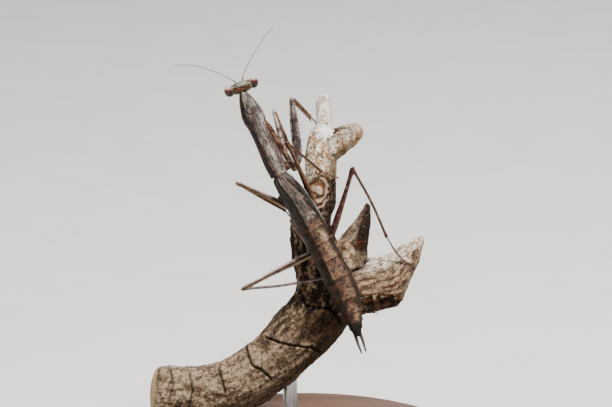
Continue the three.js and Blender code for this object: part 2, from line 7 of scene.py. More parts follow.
import math
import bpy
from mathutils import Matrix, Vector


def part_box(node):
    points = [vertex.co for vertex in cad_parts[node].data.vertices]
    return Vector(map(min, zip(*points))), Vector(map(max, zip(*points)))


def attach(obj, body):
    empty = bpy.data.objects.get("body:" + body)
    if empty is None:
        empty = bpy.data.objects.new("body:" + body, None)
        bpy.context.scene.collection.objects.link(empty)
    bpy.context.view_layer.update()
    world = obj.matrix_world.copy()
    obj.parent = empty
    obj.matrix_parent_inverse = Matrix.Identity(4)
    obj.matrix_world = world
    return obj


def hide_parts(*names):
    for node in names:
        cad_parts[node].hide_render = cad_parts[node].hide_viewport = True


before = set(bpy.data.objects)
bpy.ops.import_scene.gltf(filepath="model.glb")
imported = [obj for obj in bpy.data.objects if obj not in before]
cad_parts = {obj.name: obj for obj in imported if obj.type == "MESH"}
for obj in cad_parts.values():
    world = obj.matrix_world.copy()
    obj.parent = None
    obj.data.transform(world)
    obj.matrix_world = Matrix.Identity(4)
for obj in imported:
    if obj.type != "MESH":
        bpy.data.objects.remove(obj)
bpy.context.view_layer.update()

from types import SimpleNamespace

import bpy
import numpy as np
from mathutils import Matrix, Vector
from mathutils.kdtree import KDTree

# ---- Frames -----------------------------------------------------------------------------------

MM = 0.001
LEAN_BACK = math.radians(15)
POSE_HEIGHT = 49.0


def to_frame(points):
    """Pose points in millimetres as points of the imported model's frame in metres."""
    p = np.asarray(points, float).reshape(-1, 3)
    cos, sin = math.cos(LEAN_BACK), math.sin(LEAN_BACK)
    y = p[:, 1] * cos + p[:, 2] * sin
    z = p[:, 2] * cos - p[:, 1] * sin + POSE_HEIGHT
    return np.stack([p[:, 0], y, z], 1) * MM


def unit(vectors):
    v = np.asarray(vectors, float)
    return v / np.maximum(np.linalg.norm(v, axis=-1, keepdims=True), 1e-12)


def clamp(values):
    return np.clip(values, 0, 1)


def smoothstep(x, low, high):
    t = clamp((np.asarray(x, float) - low) / (high - low))
    return t * t * (3 - 2 * t)


def bump(x, centre, width):
    """A bell that is 1 at the centre."""
    return np.exp(-(((np.asarray(x, float) - centre) / width) ** 2))


def profile(pairs):
    """A smooth function through pairs of a place and a value."""
    x, y = np.array(pairs, float).T
    slope = np.gradient(y, x)

    def at(place):
        p = np.clip(place, x[0], x[-1])
        i = np.clip(np.searchsorted(x, p, side="right") - 1, 0, len(x) - 2)
        run = x[i + 1] - x[i]
        t = (p - x[i]) / run
        value = (2 * t**3 - 3 * t**2 + 1) * y[i] + (3 * t**2 - 2 * t**3) * y[i + 1]
        return value + ((t**3 - 2 * t**2 + t) * slope[i] + (t**3 - t**2) * slope[i + 1]) * run

    return at


def curve(points, count):
    """Evenly spaced points along a centripetal Catmull-Rom curve."""
    p = np.asarray(points, float)
    if len(p) == 2:
        return p[0] + np.linspace(0, 1, count)[:, None] * (p[1] - p[0])
    p = np.vstack([2 * p[0] - p[1], p, 2 * p[-1] - p[-2]])
    dense = []
    for a, b, c, d in zip(p, p[1:], p[2:], p[3:]):
        before, here, after = (max(np.linalg.norm(v), 1e-9) ** 0.5 for v in (b - a, c - b, d - c))
        start = ((b - a) / before - (c - a) / (before + here) + (c - b) / here) * here
        end = ((c - b) / here - (d - b) / (here + after) + (d - c) / after) * here
        t = np.linspace(0, 1, 40)[:-1, None]
        cubic = 2 * b - 2 * c + start + end
        square = 3 * c - 3 * b - 2 * start - end
        dense.append(b + start * t + square * t**2 + cubic * t**3)
    dense = np.vstack(dense + [p[-2:-1]])
    steps = np.concatenate([[0], np.cumsum(np.linalg.norm(np.diff(dense, axis=0), axis=1))])
    places = np.linspace(0, steps[-1], count)
    return np.stack([np.interp(places, steps, dense[:, k]) for k in range(3)], 1)


# ---- Noise ------------------------------------------------------------------------------------


def scatter(ix, iy, iz, seed):
    """A repeatable random number from 0 to 1 for each cell of a grid."""
    h = ix.astype(np.uint32) * np.uint32(374761393) + iy.astype(np.uint32) * np.uint32(668265263)
    h = h + iz.astype(np.uint32) * np.uint32(2246822519) + np.uint32(seed * 3266489 + 97)
    h = (h ^ (h >> np.uint32(15))) * np.uint32(2654435761)
    h = (h ^ (h >> np.uint32(13))) * np.uint32(1274126177)
    return (h ^ (h >> np.uint32(16))).astype(float) / 4294967295.0


def noise(points, seed):
    """Smooth noise from -1 to 1 with features about one unit across."""
    p = np.asarray(points, float)
    cell = np.floor(p).astype(np.int64)
    t = p - cell
    t = t * t * t * (t * (t * 6 - 15) + 10)
    total = np.zeros(len(p))
    for corner in np.ndindex(2, 2, 2):
        near = np.abs(1 - np.array(corner) - t)
        total += near[:, 0] * near[:, 1] * near[:, 2] * scatter(*(cell + corner).T, seed)
    return total * 2 - 1


def fbm(points, octaves, seed):
    """Octaves of noise, each half as strong as the one before."""
    p = np.asarray(points, float)
    total, size, reach = 0, 1.0, 0.0
    for octave in range(octaves):
        total = total + size * noise(p * 2.03**octave + 7.3 * octave, seed + octave)
        reach += size
        size *= 0.5
    return total / reach


def cells(points, seed):
    """Scattered cells: the distances to the nearest point and the border, and a number per cell."""
    p = np.asarray(points, float)
    base = np.floor(p).astype(np.int64)
    first = np.full(len(p), 9.0)
    second = np.full(len(p), 9.0)
    own = np.zeros(len(p))
    for step in np.ndindex(3, 3, 3):
        cell = (base + step - 1).T
        spot = [cell[k] + scatter(*cell, seed + 11 * k) for k in range(3)]
        gap = np.linalg.norm(np.stack(spot, 1) - p, axis=1)
        closer = gap < first
        second = np.where(closer, first, np.minimum(second, gap))
        own = np.where(closer, scatter(*cell, seed + 5), own)
        first = np.minimum(first, gap)
    return first, second - first, own


# ---- Shapes -----------------------------------------------------------------------------------
# A shape is (points, quads, triangles, tints), in pose millimetres, closed and facing out.


def rgb(red, green, blue):
    """A colour given as screen values from 0 to 255."""
    c = np.array([red, green, blue]) / 255
    return np.where(c > 0.04045, ((c + 0.055) / 1.055) ** 2.4, c / 12.92)


def blend(first, second, share):
    share = clamp(np.asarray(share, float))[..., None]
    return first * (1 - share) + second * share


def layered(colour, *layers):
    """A colour with layers over it. Each layer is (red, green, blue, share) or (colour, share)."""
    for *over, share in layers:
        colour = blend(colour, rgb(*over) if len(over) == 3 else over[0], share)
    return colour


def grid_faces(rows, columns, wrap):
    row = np.arange(rows - 1)[:, None] * columns
    column = np.arange(columns if wrap else columns - 1)[None, :]
    after = (column + 1) % columns
    return np.stack(
        [row + column, row + after, row + after + columns, row + column + columns], -1,
    ).reshape(-1, 4)


def facing_out(points, quads, tris):
    """Turns the faces round if the shape is inside out."""
    corners = np.vstack([quads[:, :3], quads[:, [0, 2, 3]], tris]) if len(quads) else tris
    a, b, c = (points[corners[:, k]] for k in range(3))
    if np.einsum("ij,ij->i", a, np.cross(b, c)).sum() < 0:
        return quads[:, ::-1], tris[:, ::-1]
    return quads, tris


def tinted(points, tint):
    return np.broadcast_to(np.asarray(tint, float), (len(points), 3)) if np.ndim(tint) < 2 else tint


def closed_tube(rings, tint):
    """A closed shape from rings of points, with a fan over each end."""
    rows, columns = rings.shape[:2]
    points = np.vstack([rings.reshape(-1, 3), rings[0].mean(0), rings[-1].mean(0)])
    around = np.arange(columns)
    after = (around + 1) % columns
    last = (rows - 1) * columns
    first_cap = np.stack([np.full(columns, rows * columns), after, around], 1)
    last_cap = np.stack([np.full(columns, rows * columns + 1), last + around, last + after], 1)
    quads, tris = facing_out(
        points, grid_faces(rows, columns, True), np.vstack([first_cap, last_cap]),
    )
    if np.ndim(tint) >= 2:
        tint = tint.reshape(-1, 3)
        tint = np.vstack([tint, tint[:columns].mean(0), tint[-columns:].mean(0)])
    return points, quads, tris, tinted(points, tint)


def closed_shell(outer, inner, tint):
    """A thin closed plate between two grids of points, darker on its inner face."""
    rows, columns = outer.shape[:2]
    count = rows * columns
    points = np.vstack([outer.reshape(-1, 3), inner.reshape(-1, 3)])
    faces = grid_faces(rows, columns, False)
    top = np.arange(columns)
    left = np.arange(rows) * columns
    border = np.concatenate([
        top, left[1:] + columns - 1, (top + count - columns)[::-1][1:], left[::-1][1:],
    ])
    rim = np.stack([border[:-1], border[1:], border[1:] + count, border[:-1] + count], 1)
    quads = np.vstack([faces[:, ::-1], faces + count, rim])
    quads, tris = facing_out(points, quads, np.zeros((0, 3), int))
    over = tint.reshape(-1, 3)
    return points, quads, tris, np.vstack([over, over * 0.75])


def frames_along(path, wide):
    """The tangent and the two cross directions at each point of a path."""
    tangent = unit(np.gradient(path, axis=0))
    wide = np.broadcast_to(np.asarray(wide, float), path.shape)
    across = unit(wide - tangent * np.sum(wide * tangent, 1, keepdims=True))
    return tangent, across, np.cross(tangent, across)


def limb(
    path, radius, sides, wide=(0, -1, 0.01), ratio=1.0, tint=(0.5, 0.5, 0.5), section=None,
    dome=0.8,
):
    """A tube with rounded ends along a path. radius holds a value for each point, or one for all.

    wide is the direction in which the tube is ratio times as thick. section(angle, t) scales the
    radius round the tube, with angle 0 along wide. tint may be a function of (t, angle, points).
    """
    path = np.asarray(path, float)
    radius = np.broadcast_to(np.asarray(radius, float), (len(path),))
    tangent, across, above = frames_along(path, wide)
    cap = np.linspace(0, math.pi / 2, 5)[1:]
    head = [
        (path[0] - tangent[0] * radius[0] * dome * math.sin(a), radius[0] * math.cos(a))
        for a in cap[::-1]
    ]
    tail = [
        (path[-1] + tangent[-1] * radius[-1] * dome * math.sin(a), radius[-1] * math.cos(a))
        for a in cap
    ]
    centres = np.vstack([[c for c, _ in head], path, [c for c, _ in tail]])
    radii = np.concatenate([[r for _, r in head], radius, [r for _, r in tail]])
    radii = np.maximum(radii, 0.02 * radius.max())
    ends = len(cap)
    across = np.vstack([np.repeat(across[:1], ends, 0), across, np.repeat(across[-1:], ends, 0)])
    above = np.vstack([np.repeat(above[:1], ends, 0), above, np.repeat(above[-1:], ends, 0)])
    t = np.concatenate([np.zeros(ends), np.linspace(0, 1, len(path)), np.ones(ends)])[:, None]
    angle = np.linspace(0, 2 * math.pi, sides, endpoint=False)[None, :]
    scale = 1.0 if section is None else section(angle, t)
    x = np.cos(angle) * radii[:, None] * ratio * scale
    y = np.sin(angle) * radii[:, None] * scale
    rings = centres[:, None] + x[..., None] * across[:, None] + y[..., None] * above[:, None]
    if callable(tint):
        t_all = np.broadcast_to(t, x.shape)
        tint = tint(t_all, np.broadcast_to(angle, x.shape), rings)
    return closed_tube(rings, tint)


def thorn(base, tip, radius, tint, tip_tint, bend=(0, 0, 0), sides=7):
    """A curved spine from its base to its tip."""
    base, tip = np.asarray(base, float), np.asarray(tip, float)
    t = np.linspace(0, 1, 7)
    path = base + t[:, None] * (tip - base) + (t * (1 - t))[:, None] * np.asarray(bend, float)
    radii = radius * np.maximum(1 - t**1.3, 0.08)
    wide = (0.3, 0.2, 1) if abs(unit(tip - base)[2]) < 0.8 else (1, 0.2, 0)

    def darkening(u, _angle, _points):
        return blend(tint, tip_tint, smoothstep(u, 0.35, 0.8))

    return limb(path, radii, sides, wide, tint=darkening)


# ---- Pieces -----------------------------------------------------------------------------------

SHARP_EDGE = math.radians(42)


def linked(name, data):
    """A new object in the scene."""
    made = bpy.data.objects.new(name, data)
    bpy.context.scene.collection.objects.link(made)
    return made


def new_object(name, shapes):
    """One Blender mesh from shapes, with their tints in the point attribute tint."""
    offset = 0
    points, quads, tris, tints = [], [], [], []
    for shape in shapes:
        points.append(shape[0])
        quads.append(np.asarray(shape[1], int).reshape(-1, 4) + offset)
        tris.append(np.asarray(shape[2], int).reshape(-1, 3) + offset)
        tints.append(shape[3])
        offset += len(shape[0])
    points, quads, tris, tints = (np.vstack(parts) for parts in (points, quads, tris, tints))
    mesh = bpy.data.meshes.new(name)
    mesh.vertices.add(len(points))
    mesh.vertices.foreach_set("co", to_frame(points).astype(np.float32).ravel())
    mesh.loops.add(quads.size + tris.size)
    mesh.loops.foreach_set(
        "vertex_index", np.concatenate([quads.ravel(), tris.ravel()]).astype(np.int32),
    )
    mesh.polygons.add(len(quads) + len(tris))
    sizes = np.concatenate([np.full(len(quads), 4), np.full(len(tris), 3)])
    mesh.polygons.foreach_set(
        "loop_start", np.concatenate([[0], np.cumsum(sizes)[:-1]]).astype(np.int32),
    )
    mesh.update(calc_edges=True)
    mesh.validate()
    colour = np.concatenate([clamp(tints), np.ones((len(tints), 1))], 1)
    layer = mesh.color_attributes.new("tint", "FLOAT_COLOR", "POINT")
    layer.data.foreach_set("color", colour.astype(np.float32).ravel())
    mesh.shade_smooth()
    mesh.set_sharp_from_angle(angle=SHARP_EDGE)
    return linked(name, mesh)


def hand_over(made, material, slot, replaced):
    """Gives a piece its material and its body, and hides the nodes that it stands for."""
    made.data.materials.append(material)
    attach(made, "root")
    if replaced:
        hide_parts(*replaced)


def piece(name, shapes, material, slot, *replaced):
    hand_over(new_object(name, shapes), material, slot, replaced)


def remeshed(name, shapes, voxel):
    """The points and faces of the shapes joined into one skin, in pose millimetres."""
    made = new_object(name, shapes)
    made.data.transform(frame_to_pose())
    modifier = made.modifiers.new("join", "REMESH")
    modifier.mode = "VOXEL"
    modifier.voxel_size = voxel
    joined = bpy.data.meshes.new_from_object(made.evaluated_get(
        bpy.context.evaluated_depsgraph_get()
    ))
    points = np.zeros(len(joined.vertices) * 3)
    joined.vertices.foreach_get("co", points)
    corners = np.zeros(len(joined.loops), int)
    joined.loops.foreach_get("vertex_index", corners)
    starts = np.zeros(len(joined.polygons), int)
    joined.polygons.foreach_get("loop_start", starts)
    totals = np.zeros(len(joined.polygons), int)
    joined.polygons.foreach_get("loop_total", totals)
    quads = corners[starts[totals == 4][:, None] + np.arange(4)]
    tris = corners[starts[totals == 3][:, None] + np.arange(3)]
    bpy.data.objects.remove(made)
    bpy.data.meshes.remove(joined)
    return points.reshape(-1, 3), quads, tris


def frame_to_pose():
    """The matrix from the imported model's metres back to pose millimetres."""
    forward = Matrix.Translation((0, 0, POSE_HEIGHT)) @ Matrix.Rotation(-LEAN_BACK, 4, "X")
    return forward.inverted() @ Matrix.Scale(1 / MM, 4)


def relaxed(points, quads, tris, rounds):
    """The points drawn towards their neighbours, which smooths a joined skin."""
    edges = np.vstack([quads[:, [0, 1]], quads[:, [1, 2]], quads[:, [2, 3]], quads[:, [3, 0]],
                       tris[:, [0, 1]], tris[:, [1, 2]], tris[:, [2, 0]]])
    count = np.bincount(edges.ravel(), minlength=len(points))[:, None]
    for _ in range(rounds):
        total = np.zeros_like(points)
        for k in range(3):
            total[:, k] = np.bincount(edges[:, 0], points[edges[:, 1], k], len(points))
            total[:, k] += np.bincount(edges[:, 1], points[edges[:, 0], k], len(points))
        points = 0.5 * points + 0.5 * total / np.maximum(count, 1)
    return points


def normals_of(points, quads, tris):
    total = np.zeros_like(points)
    for faces in (quads[:, :3], quads[:, [0, 2, 3]], tris):
        a, b, c = (points[faces[:, k]] for k in range(3))
        normal = np.cross(b - a, c - a)
        for k in range(3):
            for axis in range(3):
                total[:, axis] += np.bincount(faces[:, k], normal[:, axis], len(points))
    return unit(total)


# ---- Materials --------------------------------------------------------------------------------

MIX_SHARE, MIX_FIRST, MIX_SECOND, MIX_COLOUR = 0, 6, 7, 2  # a colour Mix node's sockets, by number


class Nodes:
    """A small helper that adds and links the nodes of one material."""

    def __init__(self, name):
        self.material = bpy.data.materials.new(name)
        self.material.use_nodes = True
        self.tree = self.material.node_tree
        self.shader = self.tree.nodes["Principled BSDF"]
        self.place = self.add("ShaderNodeTexCoord").outputs["Object"]

    def add(self, kind, **settings):
        node = self.tree.nodes.new(kind)
        for key, value in settings.items():
            setattr(node, key, value)
        return node

    def link(self, source, target):
        self.tree.links.new(source, target)
        return target

    def stretched(self, scale):
        mapping = self.add("ShaderNodeMapping")
        mapping.inputs["Scale"].default_value = scale
        self.link(self.place, mapping.inputs["Vector"])
        return mapping.outputs["Vector"]

    def noise(self, scale, detail, roughness=0.55, place=None, distortion=0.0):
        node = self.add("ShaderNodeTexNoise")
        node.inputs["Scale"].default_value = scale
        node.inputs["Detail"].default_value = detail
        node.inputs["Roughness"].default_value = roughness
        node.inputs["Distortion"].default_value = distortion
        self.link(place or self.place, node.inputs["Vector"])
        return node.outputs["Fac"]

    def voronoi(self, scale, feature="F1"):
        node = self.add("ShaderNodeTexVoronoi", feature=feature)
        node.inputs["Scale"].default_value = scale
        self.link(self.place, node.inputs["Vector"])
        return node.outputs["Distance"]

    def ramp(self, value, low, high, start=0.0, end=1.0):
        node = self.add("ShaderNodeMapRange")
        limits = {"From Min": low, "From Max": high, "To Min": start, "To Max": end}
        for key, number in limits.items():
            node.inputs[key].default_value = number
        self.link(value, node.inputs["Value"])
        return node.outputs["Result"]

    def scaled(self, colour, value):
        """A colour times a grey value."""
        node = self.add("ShaderNodeMix", data_type="RGBA", blend_type="MULTIPLY")
        node.inputs[MIX_SHARE].default_value = 1.0
        self.link(colour, node.inputs[MIX_FIRST])
        self.link(value, node.inputs[MIX_SECOND])
        return node.outputs[MIX_COLOUR]

    def mixed(self, share, first, second):
        node = self.add("ShaderNodeMix", data_type="RGBA")
        self.link(share, node.inputs[MIX_SHARE])
        for socket, source in ((MIX_FIRST, first), (MIX_SECOND, second)):
            if isinstance(source, (tuple, list, np.ndarray)):
                node.inputs[socket].default_value = (*source, 1)
            else:
                self.link(source, node.inputs[socket])
        return node.outputs[MIX_COLOUR]

    def tint(self):
        return self.add("ShaderNodeAttribute", attribute_name="tint").outputs["Color"]

    def bump(self, height, strength, distance, normal=None):
        node = self.add("ShaderNodeBump")
        node.inputs["Strength"].default_value = strength
        node.inputs["Distance"].default_value = distance
        self.link(height, node.inputs["Height"])
        if normal is not None:
            self.link(normal, node.inputs["Normal"])
        return node.outputs["Normal"]

    def finish(self, colour, roughness=None, normal=None, **values):
        self.link(colour, self.shader.inputs["Base Color"])
        if roughness is not None:
            self.link(roughness, self.shader.inputs["Roughness"])
        if normal is not None:
            self.link(normal, self.shader.inputs["Normal"])
        for key, value in values.items():
            self.shader.inputs[key.replace("_", " ")].default_value = value
        return self.material


def cuticle(name, tone, speckle, rough=(0.42, 0.62), grain=0.5, coat=0.03):
    """Insect shell: painted markings times a tone, dark speckles, pits and a satin sheen."""
    n = Nodes(name)
    tone = np.array(tone)
    mottle = n.mixed(n.ramp(n.noise(2600, 5), 0.32, 0.68), tuple(0.5 * tone), tuple(1.5 * tone))
    dots = n.ramp(n.voronoi(7200), 0.12, 0.34, 1 - speckle, 1.0)
    colour = n.scaled(n.scaled(n.tint(), mottle), dots)
    pits = n.bump(n.voronoi(9500, "SMOOTH_F1"), 0.35 * grain, 0.00002)
    skin = n.bump(n.noise(5200, 5, 0.62), 0.5 * grain, 0.00003, pits)
    roughness = n.ramp(n.noise(3900, 3), 0.3, 0.7, *rough)
    return n.finish(
        colour, roughness, skin, Coat_Weight=coat, Coat_Roughness=0.3, Specular_IOR_Level=0.16,
    )


def soft_membrane():
    """The folded skin between the plates."""
    n = Nodes("joint_membrane")
    folds = n.noise(3600, 4, 0.6, n.stretched((1, 1, 2.2)))
    colour = n.scaled(n.tint(), n.ramp(folds, 0.3, 0.7, 0.6, 1.2))
    return n.finish(
        colour, n.ramp(folds, 0.3, 0.7, 0.5, 0.7), n.bump(folds, 0.6, 0.00005),
        Specular_IOR_Level=0.4,
    )


def eye_surface():
    """Compound eye: thousands of tiny facets under a clear gloss."""
    n = Nodes("compound_eye")
    facets = n.voronoi(26000, "F1")
    shade = n.ramp(n.noise(2300, 3), 0.3, 0.7, 0.8, 1.15)
    cells_dark = n.ramp(facets, 0.25, 0.7, 1.08, 0.78)
    colour = n.scaled(n.scaled(n.tint(), shade), cells_dark)
    normal = n.bump(facets, 0.35, 0.000008)
    roughness = n.ramp(facets, 0.1, 0.7, 0.24, 0.36)
    return n.finish(
        colour, roughness, normal, Coat_Weight=0.25, Coat_Roughness=0.08, Specular_IOR_Level=0.25,
    )


def bark_surface():
    """Dead weathered bark: painted zones, fibres, dark pores and pale flecks of lichen."""
    n = Nodes("weathered_bark")
    fibres = n.noise(1500, 6, 0.65, n.stretched((1.5, 1.5, 0.55)))
    fine = n.noise(5200, 5, 0.65)
    pores = n.ramp(n.voronoi(2600), 0.1, 0.26, 0.3, 1.0)
    flecks = n.ramp(n.noise(3300, 5, 0.7), 0.58, 0.7, 0.0, 0.32)
    colour = n.scaled(n.tint(), n.ramp(fibres, 0.28, 0.72, 0.6, 1.25))
    colour = n.scaled(colour, n.ramp(fine, 0.34, 0.66, 0.5, 1.25))
    rust = n.ramp(n.noise(3600, 4, 0.6, n.stretched((1, 1.1, 0.9))), 0.54, 0.68, 0.0, 0.3)
    colour = n.mixed(rust, colour, tuple(rgb(104, 62, 34)))
    colour = n.scaled(colour, pores)
    colour = n.mixed(flecks, colour, tuple(rgb(196, 184, 166)))
    rough = n.bump(fibres, 1.0, 0.00025)
    normal = n.bump(fine, 0.9, 0.00012, rough)
    return n.finish(colour, n.ramp(fine, 0.3, 0.7, 0.82, 0.97), normal, Specular_IOR_Level=0.12)


def turned_wood():
    """Dark oiled hardwood with straight grain and fine pores."""
    n = Nodes("turned_hardwood")
    along = n.stretched((9, 150, 60))
    grain = n.noise(3.2, 8, 0.6, along, 0.8)
    pores = n.noise(14, 3, 0.7, n.stretched((14, 420, 200)))
    colour = n.mixed(n.ramp(grain, 0.32, 0.68), tuple(rgb(58, 36, 24)), tuple(rgb(104, 68, 44)))
    colour = n.scaled(colour, n.ramp(pores, 0.3, 0.5, 0.72, 1.0))
    normal = n.bump(pores, 0.25, 0.00005)
    return n.finish(
        colour, n.ramp(grain, 0.3, 0.7, 0.3, 0.44), normal, Coat_Weight=0.25, Coat_Roughness=0.2,
    )


def brushed_steel():
    n = Nodes("brushed_rod_steel")
    lines = n.noise(9, 5, 0.6, n.stretched((900, 900, 30)))
    colour = n.mixed(n.ramp(lines, 0.3, 0.7), tuple(rgb(150, 152, 155)), tuple(rgb(198, 200, 203)))
    return n.finish(
        colour, n.ramp(lines, 0.3, 0.7, 0.22, 0.4), n.bump(lines, 0.15, 0.00002), Metallic=1.0,
    )


SHELL = cuticle("thorax_cuticle", (0.34, 0.31, 0.285), 0.5)
HEAD_SHELL = cuticle("head_cuticle", (0.48, 0.49, 0.43), 0.35, grain=0.6)
ABDOMEN = cuticle("abdomen_cuticle", (0.262, 0.222, 0.19), 0.45, (0.46, 0.66), grain=0.7)
PAD = cuticle("wing_pad_cuticle", (0.25, 0.235, 0.21), 0.35, (0.4, 0.58), grain=0.4)
LEG = cuticle("leg_cuticle", (0.46, 0.41, 0.36), 0.4, (0.38, 0.56), grain=0.45)
SPINES = cuticle("spine_cuticle", (0.62, 0.6, 0.55), 0.1, (0.3, 0.44), 0.15, 0.15)
FEELER = cuticle("antenna_cuticle", (0.62, 0.64, 0.56), 0.2, (0.4, 0.55), 0.3)
MEMBRANE = soft_membrane()
EYE = eye_surface()
BARK = bark_surface()
WOOD = turned_wood()
STEEL = brushed_steel()

# ---- The trunk's frame ------------------------------------------------------------------------

SPINE = [
    (-10.44, -1.5, 18.33), (-8.72, -1.35, 14.39), (-6.4, -1.1, 9.4), (-4.1, -0.8, 4.3),
    (-1.65, -0.5, 0.58), (0.3, -0.3, -2.72), (3.72, 0, -9.32), (6.85, 0, -15.9), (8.68, 0.3, -22.2),
]
PRONOTUM_HALF_WIDTH = profile([
    (0, 0.6), (1, 0.98), (2.6, 1.42), (4.3, 1.77), (6.2, 1.52), (7.4, 1.48), (11.7, 1.6),
    (13.5, 1.57), (14.9, 1.45),
])
PRONOTUM_HALF_HEIGHT = profile([(0, 0.5), (2.6, 0.95), (4.3, 1.15), (7.4, 1.02), (14.9, 1.15)])
TRUNK_HALF_WIDTH = profile([
    (15.1, 1.55), (18.6, 1.9), (22.4, 2.18), (26.2, 2.27), (30, 2.2), (33.5, 2.36), (36.5, 2.38),
    (38.5, 2.1), (40.6, 1.7), (43.2, 1.05), (44.9, 0.38),
])
TRUNK_HALF_HEIGHT = profile([
    (15.1, 1.35), (18.6, 1.75), (22.4, 1.93), (30, 1.8), (37.3, 1.83), (41.3, 1.25), (43.2, 0.8),
    (44.9, 0.3),
])
ROLL = profile([(0, 6), (12, 10), (15, 16), (18, 27), (24, 30), (38, 26), (45, 20)])
PRONOTUM_SQUARENESS = 2.3
TRUNK_SQUARENESS = 2.6

spine = curve(SPINE, 900)
spine_length = np.linalg.norm(np.diff(spine, axis=0), axis=1).sum()
spine_places = np.linspace(0, spine_length, len(spine))
spine_tail = unit(np.gradient(spine, axis=0))
spine_level = -unit(np.cross(spine_tail, (0, -1, 0)))
spine_roll = np.radians(ROLL(spine_places))[:, None]
spine_right = (
    spine_level * np.cos(spine_roll)
    - np.cross(spine_tail, spine_level) * np.sin(spine_roll)
)
spine_back = np.cross(spine_tail, spine_right)


def body_axes(along):
    """The centre and the ways to the tail, the animal's right and its back, along the spine."""
    along = np.asarray(along, float)

    def at(table):
        return np.stack([np.interp(along, spine_places, table[:, k]) for k in range(3)], -1)

    tail = unit(at(spine_tail))
    past = along - np.clip(along, 0, spine_length)
    return at(spine) + tail * past[..., None], tail, unit(at(spine_right)), unit(at(spine_back))


def body_point(along, side, up):
    centre, _tail, right, back = body_axes(np.array(along, float))
    return centre + right * side + back * up


def body_surface(
    along, angle, lift, widths=TRUNK_HALF_WIDTH, heights=TRUNK_HALF_HEIGHT,
    squareness=TRUNK_SQUARENESS,
):
    """Points over the trunk, with angle in degrees from the middle of the back to the right."""
    along, angle, lift = np.broadcast_arrays(along, np.radians(angle), lift)
    x, z = np.sin(angle), np.cos(angle)
    reach = (np.abs(x) ** squareness + np.abs(z) ** squareness) ** (1 / squareness)
    centre, _tail, right, back = body_axes(along)
    across = (x / reach * (widths(along) + lift))[..., None]
    above = (z / reach * (heights(along) + lift))[..., None]
    return centre + right * across + back * above


def pronotum_surface(along, angle, lift):
    return body_surface(
        along, angle, lift, PRONOTUM_HALF_WIDTH, PRONOTUM_HALF_HEIGHT, PRONOTUM_SQUARENESS,
    )


def plate(rows, columns, along_of, angle_of, lift_of, thickness, tint_of, surface=body_surface):
    """A thin plate over the trunk: u runs from front to rear and v from left to right, 0 to 1."""
    u, v = np.meshgrid(np.linspace(0, 1, rows), np.linspace(0, 1, columns), indexing="ij")
    along, angle = along_of(u, v), angle_of(u, v)
    lift = lift_of(u, v, along, angle)
    outer = surface(along, angle, lift)
    edge = np.maximum(np.abs(2 * u - 1), np.abs(2 * v - 1)) ** 10
    inner = surface(along, angle, lift - thickness * (1 - 0.65 * edge))
    tint = tint_of(u, v, along, angle, outer)
    return closed_shell(outer, inner, tint)


def speckled(points, scale, seed, low, high):
    """Dark specks over points, 0 to 1."""
    flat = points.reshape(-1, 3)
    return smoothstep(fbm(flat * scale, 3, seed), low, high).reshape(points.shape[:-1])


def mottled(points, scale, seed, octaves=4):
    flat = np.asarray(points).reshape(-1, 3)
    return fbm(flat * scale, octaves, seed).reshape(np.asarray(points).shape[:-1])


def streaks(along, angle, seed, scale_along=0.7, scale_angle=0.11, octaves=4):
    """Noise drawn out along the body, -1 to 1."""
    place = np.stack(
        [along * scale_along, angle * scale_angle, np.full(along.shape, 3.7 * seed)], -1,
    )
    return fbm(place.reshape(-1, 3), octaves, seed).reshape(along.shape)


# ---- Pronotum ---------------------------------------------------------------------------------

PRONOTUM_FRONT = -0.2
PRONOTUM_REAR = 14.95
DARK_RED = rgb(106, 40, 32)


def groove_place(angle):
    """Where the groove across the pronotum runs: a crescent that opens to the front."""
    return 4.0 - 0.95 * (np.abs(angle) / 45) ** 2


def pronotum_lift(u, v, along, angle):
    side = np.abs(angle)
    margin = 0.10 * bump(side, 90, 7) * smoothstep(along, 0.6, 2.5)
    gutter = -0.06 * bump(side, 74, 8) * smoothstep(along, 0.6, 2.5)
    groove = -0.13 * bump(along, groove_place(angle), 0.16) * (1 - smoothstep(side, 48, 66))
    side_groove = -0.07 * bump(along, 4.35, 0.16) * smoothstep(side, 48, 62)
    keel = 0.075 * bump(angle, 0, 3.6) * smoothstep(along, 5.0, 6.2)
    furrow = -0.05 * bump(angle, 0, 4) * bump(along, 2.0, 1.2)
    swelling = 0.06 * bump(along, 3.2, 0.7) * bump(angle, 8, 24)
    rear_rim = (
        0.05 * bump(along, PRONOTUM_REAR - 0.25, 0.16)
        - 0.04 * bump(along, PRONOTUM_REAR - 0.62, 0.18)
    )
    place = body_surface(along, angle, 0).reshape(-1, 3)
    first, _border, own = cells(place * 4.2, 3)
    grains = 0.035 * (smoothstep(0.36 - first, 0, 0.3) * (own > 0.35)).reshape(along.shape)
    lines = 0.022 * streaks(along, angle, 4, 1.1, 0.22, 3)
    ends = -0.2 * smoothstep(-along, -0.5, -PRONOTUM_FRONT) ** 2
    return (
        margin + gutter + groove + side_groove + keel + furrow + swelling + rear_rim
        + grains + lines + ends
    )


